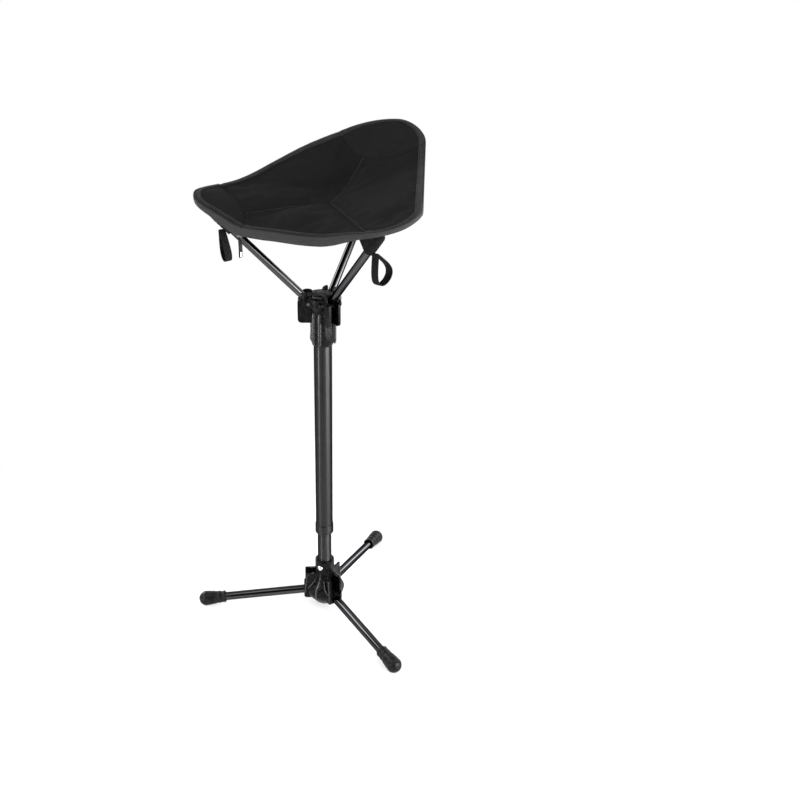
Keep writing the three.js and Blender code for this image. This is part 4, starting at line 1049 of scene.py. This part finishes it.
def sampled(table, x, y):
    """The value of a table over the plan at each point, mixed from the four cells round it."""
    gx = np.clip((x - TABLE_LOW[0]) / CELL, 0, TABLE_SIZE[0] - 1.001)
    gy = np.clip((y - TABLE_LOW[1]) / CELL, 0, TABLE_SIZE[1] - 1.001)
    i, j = gx.astype(int), gy.astype(int)
    u, v = gx - i, gy - j
    near_row = table[i, j] * (1 - v) + table[i, j + 1] * v
    return near_row * (1 - u) + (table[i + 1, j] * (1 - v) + table[i + 1, j + 1] * v) * u


def pad_faces(x, y, e, sewing=1.0):
    """Top and under heights of the pad at a distance e in from its rim, which is rounded like a bolster."""
    plain = seat_top(x, y)
    depth = seat_depth(x, y)
    middle = plain - depth / 2
    edge = 1 - (1 - np.clip(e / 5.0, 0, 1)) ** 2.4
    round_off = np.maximum(edge, 0) ** (1 / 2.4)
    top = middle + (depth / 2 + sewing * sewn_height(x, y, e) + sampled(swell["top"], x, y)) * round_off
    under = middle - (depth / 2 + sampled(swell["under"], x, y)) * round_off
    return top, under


print("swell table:", TABLE_SIZE[0] * CELL, "by", TABLE_SIZE[1] * CELL, "mm in cells of", CELL)

# %% [markdown]
# ## Letting the foam swell
# Foam presses its cover outwards between the sewn lines, and the cover answers with soft bulges and a few
# creases that no simple formula gives. So the bulges come from a cloth simulation. A plain copy of the pad
# is remeshed evenly at 5 mm, held along its seams and its hem, and pressed from inside without gravity. The
# blown mesh itself could be the pad, but remeshing rubs out seams narrower than a voxel. So what it moved
# is kept as two tables of heights over the plan. The fine pad adds them on its own grid, where its seams
# stay crisp.


# %% Helpers for the coarse copy and the tables
def rim_fan(rings, rays):
    """Places on rays from the meeting point of the seams to the hem, and how far each is in from the hem."""
    hem_spots = rim_inset[np.linspace(0, len(rim_inset), rays, endpoint=False).astype(int)]
    t = np.linspace(0, 1, rings)[:, None, None]
    spots = MEETING + t * (hem_spots - MEETING)
    return spots[..., 0], spots[..., 1], (1 - t[..., 0]) * np.linalg.norm(hem_spots - MEETING, axis=1) * 0.8


def tabled(x, y, values):
    """Scattered values as a table over the plan: sums by cell, blurred, divided by blurred counts."""
    cell = tuple(np.floor((v - low) / CELL + 0.5).astype(int) for v, low in zip((x, y), TABLE_LOW))
    total, count = np.zeros(TABLE_SIZE), np.zeros(TABLE_SIZE)
    np.add.at(total, cell, values)
    np.add.at(count, cell, 1.0)
    for _ in range(5):
        for axis in (0, 1):
            total = (np.roll(total, 1, axis) + 2 * total + np.roll(total, -1, axis)) / 4
            count = (np.roll(count, 1, axis) + 2 * count + np.roll(count, -1, axis)) / 4
    return np.where(count > 1e-5, total / np.maximum(count, 1e-5), 0.0)


def spots_of(mesh):
    """The vertices of a mesh in mm, as an (n, 3) array."""
    spots = np.empty(len(mesh.vertices) * 3)
    mesh.vertices.foreach_get("co", spots)
    return spots.reshape(-1, 3) / MM


print("swell helpers:", rim_fan.__name__, tabled.__name__, spots_of.__name__)


# %% A helper that remeshes the copy and pins its seams
VOXEL, SWELL_FRAMES, SWELL_PRESSURE = 5.0, 20, 4.0
PIN_WIDTH, PIN_HEM_SHARE = 4, 0.93


def even_copy():
    """A plain pad without seams, remeshed evenly, with the vertices near seams, patches and hem pinned."""
    x_fan, y_fan, e_fan = rim_fan(40, 240)
    top, under = pad_faces(x_fan, y_fan, e_fan, sewing=0.0)
    upper, lower = np.stack([x_fan, y_fan, top], axis=-1), np.stack([x_fan, y_fan, under], axis=-1)
    copy = surface("swell_copy", np.concatenate([upper, lower[::-1][1:]]))
    remesh = copy.modifiers.new("even", "REMESH")
    remesh.mode, remesh.voxel_size = "VOXEL", VOXEL * MM
    even = bpy.data.meshes.new_from_object(copy.evaluated_get(bpy.context.evaluated_depsgraph_get()))
    bpy.data.objects.remove(copy)
    blown = bpy.data.objects.new("swell_even", even)
    scene.collection.objects.link(blown)
    before = spots_of(even)
    plan = before[:, :2].T
    lines = np.min([np.where(run > 0, np.abs(off), 99) for off, run in seam_distances(*plan)], axis=0)
    edges = np.min([np.abs(d) for d in patch_distances(*plan).values()], axis=0)
    held = (np.minimum(lines, edges) < PIN_WIDTH) | (polar(*plan)[1] > PIN_HEM_SHARE)
    pins = blown.vertex_groups.new(name="sewn")
    pins.add(np.flatnonzero(held).tolist(), 1.0, "REPLACE")
    return blown, before


print("the copy is remeshed at", VOXEL, "mm and pinned within", PIN_WIDTH, "mm of its seams")


# %% A helper that blows the copy up
def swollen():
    """Blow up the coarse copy for 20 frames; give its points before and after, in mm."""
    blown, before = even_copy()
    cloth = blown.modifiers.new("cover", "CLOTH")
    cloth.settings.vertex_group_mass = "sewn"
    cloth.settings.use_pressure = True
    cloth.settings.uniform_pressure_force = SWELL_PRESSURE
    cloth.settings.shrink_min = -0.02
    cloth.settings.effector_weights.gravity = 0.0
    cloth.point_cache.frame_start, cloth.point_cache.frame_end = 1, SWELL_FRAMES
    for frame_number in range(1, SWELL_FRAMES + 1):
        scene.frame_set(frame_number)
    result = blown.evaluated_get(bpy.context.evaluated_depsgraph_get())
    after = spots_of(result.to_mesh())
    result.to_mesh_clear()
    bpy.data.objects.remove(blown)
    scene.frame_set(1)
    return before, after


print("the copy is blown up with a pressure of", SWELL_PRESSURE, "over", SWELL_FRAMES, "frames")

# %% Swell the copy and keep what it moved
SWELL_MOST, UNDER_MOST = 5.0, 2.5
before, after = swollen()
rise = after[:, 2] - before[:, 2]
on_top = before[:, 2] > seat_top(before[:, 0], before[:, 1]) - seat_depth(before[:, 0], before[:, 1]) / 2
swell["top"] = tabled(*before[on_top, :2].T, np.clip(rise[on_top], -SWELL_MOST, SWELL_MOST))
swell["under"] = tabled(*before[~on_top, :2].T, np.clip(-rise[~on_top], -UNDER_MOST, UNDER_MOST))
most = (rise[on_top].min(), rise[on_top].max(), rise[~on_top].min())
print("swell in mm:", [round(float(f), 1) for f in most])

# %% [markdown]
# ## The pad
# The pad's grid is a fan from the point where the seams meet: its rays crowd together along the seams, and
# its rings crowd together at the rim, so the narrow grooves and the rounded edge are crisp without a heavy
# mesh. The cloth's UV map is its plan in metres, as the cloth was cut.

# %% Space the rays of the pad
rays, rings_top, rings_under = 520, 104, 40
step = np.linalg.norm(np.diff(rim_inset, axis=0, append=rim_inset[:1]), axis=1)
weight = step.copy()
for off, run in seam_distances(rim_inset[:, 0], rim_inset[:, 1]):
    weight += step * 5 * np.exp(-((off / 9) ** 2)) * (run > 0)
walk = np.concatenate([[0], np.cumsum(weight)])
wanted = np.linspace(0, walk[-1], rays, endpoint=False)
pick = np.interp(wanted, walk, np.arange(len(walk)))
low, part = np.floor(pick).astype(int), (pick % 1)[:, None]
high = (low + 1) % len(rim_inset)
hem = rim_inset[low % len(rim_inset)] * (1 - part) + rim_inset[high] * part
hem_out = rim_out[low % len(rim_inset)] * (1 - part) + rim_out[high] * part
facing = np.abs(((hem - MEETING) * hem_out).sum(axis=1))
closest = float(np.linalg.norm(np.diff(hem, axis=0), axis=1).min())
print("rays:", rays, "with", round(closest, 2), "mm between the closest at the hem")


# %% Build the pad
def fan(rings):
    """Places on rays from the meeting point to the hem, crowded at the rim, and how far each is in."""
    t = np.linspace(0, 1, rings)
    t = np.where(t < 0.9, t / 0.9 * 0.965, 1 - 0.035 * (1 - (t - 0.9) / 0.1) ** 2)
    t[-1] = 1.0
    spots = MEETING + t[:, None, None] * (hem - MEETING)
    return spots[..., 0], spots[..., 1], (1 - t)[:, None] * facing


x_top, y_top, e_top = fan(rings_top)
x_low, y_low, e_low = fan(rings_under)
z_top = pad_faces(x_top, y_top, e_top)[0]
z_low = pad_faces(x_low, y_low, e_low)[1]
pad_points = np.concatenate(
    [np.stack([x_top, y_top, z_top], axis=-1), np.stack([x_low, y_low, z_low], axis=-1)[::-1][1:]], axis=0
)
pad_uv = pad_points[..., :2] * MM
pad_masks = {"patch": np.concatenate([patch_mask(x_top, y_top), np.zeros((rings_under - 1, rays))])}
pad = surface("seat_pad", moved(pad_points, to_column), uv=pad_uv, masks=pad_masks)
place(pad, "seat", oxford_cloth, "oxford_cloth", "seat_panel")
print("pad:", len(pad.data.polygons), "faces")

# %% [markdown]
# ## The binding
# A tape folded over the raw edge of the seat holds its layers together. It shows as a band about 9 mm wide
# on top, a flat outer edge, and a narrower band below. Its section is a long flat U, carried round the
# outline, and each point of the U takes its height from the pad under it. Its outer edge and lower band are
# painted lighter and its top darker: painted light, as if the edge caught light from the front and below.


# %% The section of the binding
TAPE = 0.9
# Rows over and under the rim: how far in from it, and how far off the pad. Rows at the back: a side of it.
TAPE_OVER = [(9.6, 0.15), (9.2, 0.8), (7, 1.0), (4, 1.05), (2.2, 1.0)]
TAPE_UNDER = [(2.2, 1.0), (4, 1.0), (5.4, 0.8), (5.8, 0.15)]
TAPE_BEND, TAPE_BEND_STEPS = 1.05, 11
TAPE_BACK = [(3.4, -1), (1.9, -1), (1.9, 1), (3.4, 1)]


def band_section(place_xy, out_xy):
    """A closed U round the rim: outer skin from the top lip over the edge to the lower lip, then back."""
    rows = []
    for q, lift in TAPE_OVER:
        x, y = (place_xy - out_xy * q).T
        rows.append((q, pad_faces(x, y, np.full(len(x), q - HEM_INSET))[0] + lift))
    x, y = (place_xy - out_xy * 5.5).T
    top, under = pad_faces(x, y, np.full(len(x), 3.4))
    middle, half = (top + under) / 2, (top - under) / 2 + TAPE
    for a in np.linspace(TAPE_BEND, -TAPE_BEND, TAPE_BEND_STEPS):
        height = middle + half * np.sin(a) / math.sin(TAPE_BEND) * 0.98
        rows.append((1.9 * (1 - abs(math.cos(a)) ** 0.5), height))
    for q, drop in TAPE_UNDER:
        x, y = (place_xy - out_xy * q).T
        rows.append((q, pad_faces(x, y, np.full(len(x), q - HEM_INSET))[1] - drop))
    for q, sign in TAPE_BACK:
        rows.append((q, middle + sign * half * 0.55))
    points = [np.column_stack([place_xy - out_xy * q, z]) for q, z in rows]
    return np.stack(points, axis=0)


print("binding: reaches", TAPE_OVER[0][0], "mm in on top and", TAPE_UNDER[-1][0], "mm below")

# %% Fold the binding over the hem
band_place, band_out = outline(2.0)
band_points = band_section(band_place, band_out)
band_run = np.concatenate([[0], np.cumsum(np.linalg.norm(np.diff(band_place, axis=0), axis=1))]) * MM
steps_across = np.linalg.norm(np.diff(band_points, axis=0), axis=-1).mean(axis=1)
across = np.concatenate([[0], np.cumsum(steps_across)]) * MM
band_uv = np.stack(np.broadcast_arrays(band_run[None, :], across[:, None]), axis=-1)
# Painted light on the tape: its outer edge and lower band are lightened and its top is darkened, row by row.
rows_and_painted_light = ((TAPE_OVER, -0.8), (range(TAPE_BEND_STEPS), 1.4), (TAPE_UNDER, 0.8), (TAPE_BACK, 0.0))
painted_light_by_row = np.concatenate([np.full(len(rows), painted_light_share) for rows, painted_light_share in rows_and_painted_light])
band_masks = {"patch": np.repeat(painted_light_by_row[:, None], band_points.shape[1], axis=1)}
band_points = moved(band_points, to_column)
binding = surface("seat_edge_tape", band_points, wrap_along=True, uv=band_uv, masks=band_masks)
place(binding, "seat", binding_tape, "webbing", "seat_binding")
print("binding:", round(float(band_run[-1]), 2), "m of tape")

# %% [markdown]
# ## Stitches
# Sewn lines are real stitches here: one small rounded bar that dips at both ends, repeated along a line.
# The line is first cut into equal steps, and each bar is turned into the direction of the line and of the
# cloth under it.


# %% A helper that sews along a line
def sewn(name, line, up, pitch=3.3, length=2.5, thick=0.55, closed=False):
    """Bars along a line of points with up directions: 5 rings of 6 points, thin and sunk at the ends."""
    path = np.vstack([line, line[:1]]) if closed else line
    ups = np.vstack([up, up[:1]]) if closed else up
    run = np.concatenate([[0], np.cumsum(np.linalg.norm(np.diff(path, axis=0), axis=1))])
    count = max(2, int(run[-1] / pitch))
    mid = (np.arange(count) + 0.5) * run[-1] / count

    def at(s, table):
        """A table of points read at distances along the line."""
        return np.column_stack([np.interp(s, run, table[:, k]) for k in range(3)])

    centre, above = at(mid, path), at(mid, ups)
    ahead = at(np.minimum(mid + 0.4, run[-1]), path) - at(np.maximum(mid - 0.4, 0), path)
    ahead /= np.linalg.norm(ahead, axis=1, keepdims=True)
    side = np.cross(above, ahead)
    side /= np.linalg.norm(side, axis=1, keepdims=True)
    above = np.cross(ahead, side)
    s = np.array([-1, -0.72, 0, 0.72, 1.0])
    radius = thick / 2 * np.array([0.35, 0.85, 1, 0.85, 0.35])
    lift = thick * np.array([-0.35, 0.1, 0.25, 0.1, -0.35])
    a = np.linspace(0, 2 * np.pi, 6, endpoint=False)
    ring = (
        (s * length / 2)[None, :, None, None] * ahead[:, None, None, :]
        + (lift[:, None] + radius[:, None] * np.sin(a))[None, :, :, None] * above[:, None, None, :]
        + (radius[:, None] * np.cos(a))[None, :, :, None] * side[:, None, None, :]
        + centre[:, None, None, :]
    )
    base = np.arange(count)[:, None, None] * 30
    r, c = np.meshgrid(np.arange(4), np.arange(6), indexing="ij")
    quads = np.stack([r * 6 + c, r * 6 + (c + 1) % 6, (r + 1) * 6 + (c + 1) % 6, (r + 1) * 6 + c], axis=-1)
    quads = (quads.reshape(1, -1, 4) + base).reshape(-1, 4).tolist()
    caps = [[int(b + k) for k in order] for b in base.ravel() for order in (range(5, -1, -1), range(24, 30))]
    mesh = bpy.data.meshes.new(name)
    mesh.from_pydata((moved(ring, to_column) * MM).reshape(-1, 3), [], quads + caps)
    return finished(name, mesh)


print("sewing helper:", sewn.__name__)


# %% Sew round the binding
def on_pad(x, y, e, lift):
    """Points on the pad's top, lifted a little, and the direction straight out of the cloth there."""
    d = 0.5
    z = pad_faces(x, y, e)[0]
    slope_x = (pad_faces(x + d, y, e)[0] - z) / d
    slope_y = (pad_faces(x, y + d, e)[0] - z) / d
    normal = np.column_stack([-slope_x, -slope_y, np.ones(len(x))])
    return np.column_stack([x, y, z + lift]), normal / np.linalg.norm(normal, axis=1, keepdims=True)


STITCH_ROWS = (8.3, 6.6, 2.9)
for row, q in enumerate(STITCH_ROWS):
    x, y = (band_place - band_out * q).T
    line, up = on_pad(x, y, np.full(len(x), q - HEM_INSET), 1.0)
    stitches = sewn(f"edge_stitch_{row}", line, up, closed=True)
    place(stitches, "seat", thread_black, "webbing")
    print("edge stitches: row", row, "at", q, "mm from the rim")

# %% Sew along the seams
SEAM_STITCH_OFFSET = 2.6
for side, (end_x, end_y, ridge) in SEAM_ENDS.items():
    u = np.array([end_x, end_y]) - MEETING
    total = np.linalg.norm(u)
    u = u / total
    s = np.arange(4, total, 1.0)
    normal_side = ridge * np.array([-u[1], u[0]])
    x, y = (MEETING + s[:, None] * u + SEAM_STITCH_OFFSET * normal_side).T
    keep = (patch_mask(x, y) < 0.02) & (polar(x, y)[1] < 0.93)
    line, up = on_pad(x[keep], y[keep], np.full(keep.sum(), 30.0), 0.05)
    place(sewn("seam_stitch_" + side, line, up), "seat", thread_black, "oxford_cloth")
    print("seam stitches:", side, int(keep.sum()), "mm")

# %% [markdown]
# ## Corner pockets
# Under each corner a pocket of the same cloth takes the end of an arm. It is a sling: it hangs from two
# sewn edges, passes under the arm's cap, and is closed past the tip. Its section is a U, worked out at
# steps along the arm, and its upper edges end on the underside of the pad, which is found by stepping up
# from the arm. It could be simulated too, but it is drawn tight over the cap, so a few shallow wrinkles say
# enough.


# %% How far the seat is from an arm
def height_to_seat(local, frame_of_arm):
    """How far each [across, along] point of an arm's frame is from the pad, square to the arm."""
    climb = np.linspace(0, 70, 281)
    spots = np.stack(np.broadcast_arrays(-climb[None, :], local[:, :1], local[:, 1:2]), axis=-1)
    w = moved(spots, frame_of_arm)
    x, y = turned_by(-COLUMN_TURN, w[..., 0], w[..., 1])
    inside = polar(x, y)[1] < 1.0
    under = seat_top(x, y) - seat_depth(x, y)
    hit = (w[..., 2] >= under) & inside
    return np.where(hit.any(axis=1), climb[hit.argmax(axis=1)], 8.0)


def arm_frame(side):
    """The frame of an arm as an array: its Z runs along the arm from the pivot."""
    return np.array(limb(ARM_PIVOT_RADIUS, ARM_PIVOT_HEIGHT, ARM_LEAN, ARM_AZIMUTHS[side]))


for side, length in ARM_LENGTHS.items():
    above_tip = float(height_to_seat(np.array([[0.0, length - 3.0]]), arm_frame(side))[0])
    print("the seat is", round(above_tip, 1), "mm from the", side, "arm's tip, square to the arm")

# %% The section of a pocket
POCKET_OUTER, POCKET_WALL, POCKET_LENGTH, POCKET_END = 7.4, 0.9, 31.0, 2.6
POCKET_TUCK, CLOSING_SHARE, WRINKLE = 0.3, 0.8, 0.22
POCKET_FLARE, POCKET_BOW, BOW_SHARE = 1.6, 0.5, 0.6


def pocket_wall(grow, radius, z_along, reach, wrinkle, close):
    """One skin of a pocket: sides that bow a little and flare to their seams, and half a circle below."""
    wall, bend = np.linspace(1, 0, 14)[:-1], np.linspace(0, np.pi, 30)
    rr = np.maximum(radius + grow, 0.05)
    flare = (wall[None, :] ** 5) * POCKET_FLARE * (1 - close[:, None])
    bow = np.sin(wall * np.pi)[None, :] * (POCKET_BOW + wrinkle[:, None])
    side_y, side_z = rr[:, None] + flare - bow * BOW_SHARE, z_along[:, None] + 0 * flare
    left = np.stack([-reach[0][:, None] * wall, -side_y, side_z], axis=-1)
    under = (rr[:, None] + wrinkle[:, None] * (grow == 0)) * np.sin(bend)
    bottom = np.stack([under, -rr[:, None] * np.cos(bend), z_along[:, None] + 0 * bend], axis=-1)
    right = np.stack([-reach[1][:, None] * wall, side_y, side_z], axis=-1)
    return np.concatenate([left, bottom, right[:, ::-1]], axis=1)


def pocket_section(length, frame_of_arm):
    """Rows of a pocket along its arm: outer skin and inner skin, with folded edges at mouth and tail."""
    s = np.concatenate([np.linspace(0, 0.8, 34), 0.8 + 0.2 * np.sin(np.linspace(0, np.pi / 2, 12))[1:]])
    z_along = length - POCKET_LENGTH + s * (POCKET_LENGTH + POCKET_END)
    close = np.clip((s - CLOSING_SHARE) / (1 - CLOSING_SHARE), 0, 1)
    radius = POCKET_OUTER * np.sqrt(np.maximum(1 - close**2.4, 0.0004))
    wrinkle = WRINKLE * np.sin(s * 38) * (1 - close)
    edges = (np.column_stack([-radius, z_along]), np.column_stack([radius, z_along]))
    reach = [height_to_seat(edge, frame_of_arm) + POCKET_TUCK for edge in edges]
    outer, inner = (pocket_wall(grow, radius, z_along, reach, wrinkle, close) for grow in (0.0, -POCKET_WALL))
    section = np.concatenate([outer, inner[:, ::-1]], axis=1)
    section = np.concatenate([section[:1], section])
    mid = (outer + inner) / 2
    mouth = np.concatenate([mid[:1], mid[:1, ::-1]], axis=1) - np.array([0, 0, 0.35])
    tail = np.concatenate([mid[-1:], mid[-1:, ::-1]], axis=1) + np.array([0, 0, 0.35])
    return np.concatenate([mouth, section, tail])


print("pocket:", 2 * POCKET_OUTER, "mm wide and", POCKET_LENGTH + POCKET_END, "mm deep")

# %% Sew the pockets
for side, length in ARM_LENGTHS.items():
    section = pocket_section(length, arm_frame(side))
    girth = np.concatenate([[0], np.cumsum(np.linalg.norm(np.diff(section[5], axis=0), axis=1))])
    uv = np.stack(np.broadcast_arrays(girth[None, :], section[..., 2].mean(axis=1)[:, None]), axis=-1) * MM
    pocket = surface("pocket_skin_" + side, moved(section, arm_frame(side)), uv=uv)
    place(pocket, "seat", pocket_cloth, "oxford_cloth", "corner_pocket_" + side)
    print("pocket", side, "has", len(pocket.data.polygons), "faces")

# %% [markdown]
# ## Pull loops
# A loop of narrow webbing hangs below each pocket, to pull the corner off its arm. It is a flat band bent
# into a teardrop, so it is a rounded section carried along the teardrop, and its UV map runs with the band,
# which keeps the ribs of the weave square to it.

# %% The section of the webbing
LOOP_WIDTH, LOOP_THICK, LOOP_DROP = 10.0, 1.4, 41.0
LOOP_IN_FROM_TIP, LOOP_CLEARANCE = 12, 0.3


def squarish(v):
    """A circle's coordinate raised to a low power, which turns the circle into a rounded rectangle."""
    return np.sign(v) * np.abs(v) ** 0.35


corner_turn = np.linspace(0, 2 * np.pi, 20, endpoint=False)
band_x = squarish(np.cos(corner_turn)) * LOOP_WIDTH / 2
band_y = squarish(np.sin(corner_turn)) * LOOP_THICK / 2
band_shape = np.column_stack([band_x, band_y])
print("webbing:", LOOP_WIDTH, "by", LOOP_THICK, "mm")

# %% The line of a loop
LOOP_LEANS = {"left": 0, "rear": 0, "right": 25}
LOOP_DRIFTS = {"left": -6, "rear": 0, "right": 0}
LOOP_TWISTS = {"left": 40, "rear": 0, "right": 18}
LOOP_SPANS = {"left": 13, "rear": 22, "right": 33}
LOOP_RAISES = {"left": 3.5, "rear": 0, "right": 2}


def loop_line(side):
    """A teardrop under the pocket: a sine that widens towards the bottom; it may lean and drift."""
    along = ARM_LENGTHS[side] - LOOP_IN_FROM_TIP
    arm_lean = math.radians(ARM_LEAN)
    x0 = ARM_PIVOT_RADIUS + along * math.sin(arm_lean)
    top = ARM_PIVOT_HEIGHT + along * math.cos(arm_lean) - POCKET_OUTER / math.sin(arm_lean)
    top -= LOOP_WIDTH / 2 + LOOP_THICK / 2 + LOOP_CLEARANCE - LOOP_RAISES[side]
    t = np.linspace(0, 2 * np.pi, 160, endpoint=False)
    share = (1 - np.cos(t)) / 2
    wide = LOOP_SPANS[side] / 2 * np.sin(t) * np.sqrt(share) * (1 + share) * 0.6
    lean = math.radians(LOOP_LEANS[side])
    out = x0 + LOOP_DRIFTS[side] * share
    across = wide * math.cos(lean) + LOOP_DROP * share * math.sin(lean)
    height = top + wide * math.sin(lean) - LOOP_DROP * share * math.cos(lean)
    return x0, np.column_stack([out, across, height])


print("loops hang from", {side: round(float(loop_line(side)[1][:, 2].max())) for side in SIDES}, "mm up")

# %% Bend the webbing into loops
for side, azimuth in ARM_AZIMUTHS.items():
    x0, line = loop_line(side)
    run = np.roll(line, -1, axis=0) - np.roll(line, 1, axis=0)
    run[:, 0] = 0
    run /= np.linalg.norm(run, axis=1, keepdims=True)
    skin = np.column_stack([np.zeros(len(run)), run[:, 2], -run[:, 1]])
    width_way = band_shape[None, :, :1] * np.array([1.0, 0, 0])
    points = line[:, None, :] + width_way + band_shape[None, :, 1:] * skin[:, None, :]
    run_length = np.concatenate([[0], np.cumsum(np.linalg.norm(np.diff(line, axis=0), axis=1))]) * MM
    uv = np.stack(np.broadcast_arrays(run_length[:, None], band_shape[None, :, 0] * MM), axis=-1)
    middle = Matrix.Translation((x0, 0, 0))
    twist = Matrix.Rotation(math.radians(LOOP_TWISTS[side]), 4, "Z")
    points = moved(points, middle @ twist @ middle.inverted())
    swing = Matrix.Rotation(math.radians(azimuth), 4, "Z")
    loop = surface("loop_webbing_" + side, moved(points, swing), wrap_along=True, uv=uv)
    place(loop, "seat", strap_webbing, "webbing", "pull_loop_" + side)
    print("loop", side, "is made of", round(float(run_length[-1]) / MM), "mm of webbing")

# %% [markdown]
# ## Zip
# The cover of the foam closes with a zip under the front left edge. The slider and its pull are small
# castings, so they are the CAD solids with softened edges. The pull has a bright tip, a turned profile
# pressed flat.

# %% Dress the slider and its pull
slider = dressed_copy("zip_slider_body", "zip_slider", 0.25)
place(slider, "seat", dark_steel, "dark_steel", "zip_slider")
pull = dressed_copy("zip_pull_body", "zip_pull", 0.3)
place(pull, "zip_pull", knuckle_nylon, "bright_steel", "zip_pull")
print("zip: slider and pull dressed")

# %% Turn the bright tip of the pull
TIP_RADIUS, TIP_FOOT, TIP_SIDE, TIP_TOP = 2.3, 1.4, 5.4, 5.9
TIP_FLATNESS, TIP_TURN, TIP_RAISE = 0.55, -125.5, 0.9
pull_low, pull_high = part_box("zip_pull")
pull_middle = [(low + high) / 2 / MM for low, high in zip(pull_low, pull_high)]
tip_round = np.linspace(0, np.pi / 2, 8)
tip_nose = np.column_stack([TIP_RADIUS * np.sin(tip_round) ** 0.6, -TIP_FOOT * np.cos(tip_round)])
tip_outline = np.vstack([[[0, 0]], tip_nose, [[TIP_RADIUS, TIP_SIDE], [2.0, TIP_TOP], [0, TIP_TOP]]])
tip_place = Matrix.Translation((pull_middle[0], pull_middle[1], pull_low[2] / MM + TIP_RAISE))
tip_turn = Matrix.Rotation(math.radians(TIP_TURN), 4, "Z") @ Matrix.Diagonal((1.0, TIP_FLATNESS, 1.0, 1.0))
tip = revolved("zip_pull_tip", tip_outline, tip_place @ tip_turn, 32, closed=False, sharp=50)
place(tip, "zip_pull", bright_steel, "bright_steel")
print("tip of the pull:", TIP_FOOT + TIP_TOP, "mm long")

# %% [markdown]
# ## What stays from the CAD
# The pins, the spring and the twist lock are hidden or barely seen, and their shapes are right, so they
# stay as they are and only get a finish.

# %% Give the remaining nodes their finishes
finishes = {"leg_pin": dark_steel, "arm_pin": dark_steel, "snap_spring": bright_steel, "lock": knuckle_nylon}
for name, node in nodes.items():
    if node.hide_render:
        continue
    finish = next(made for start, made in finishes.items() if name.startswith(start))
    node.data.materials.clear()
    node.data.materials.append(finish)
    print("kept", name, "in", finish.name)
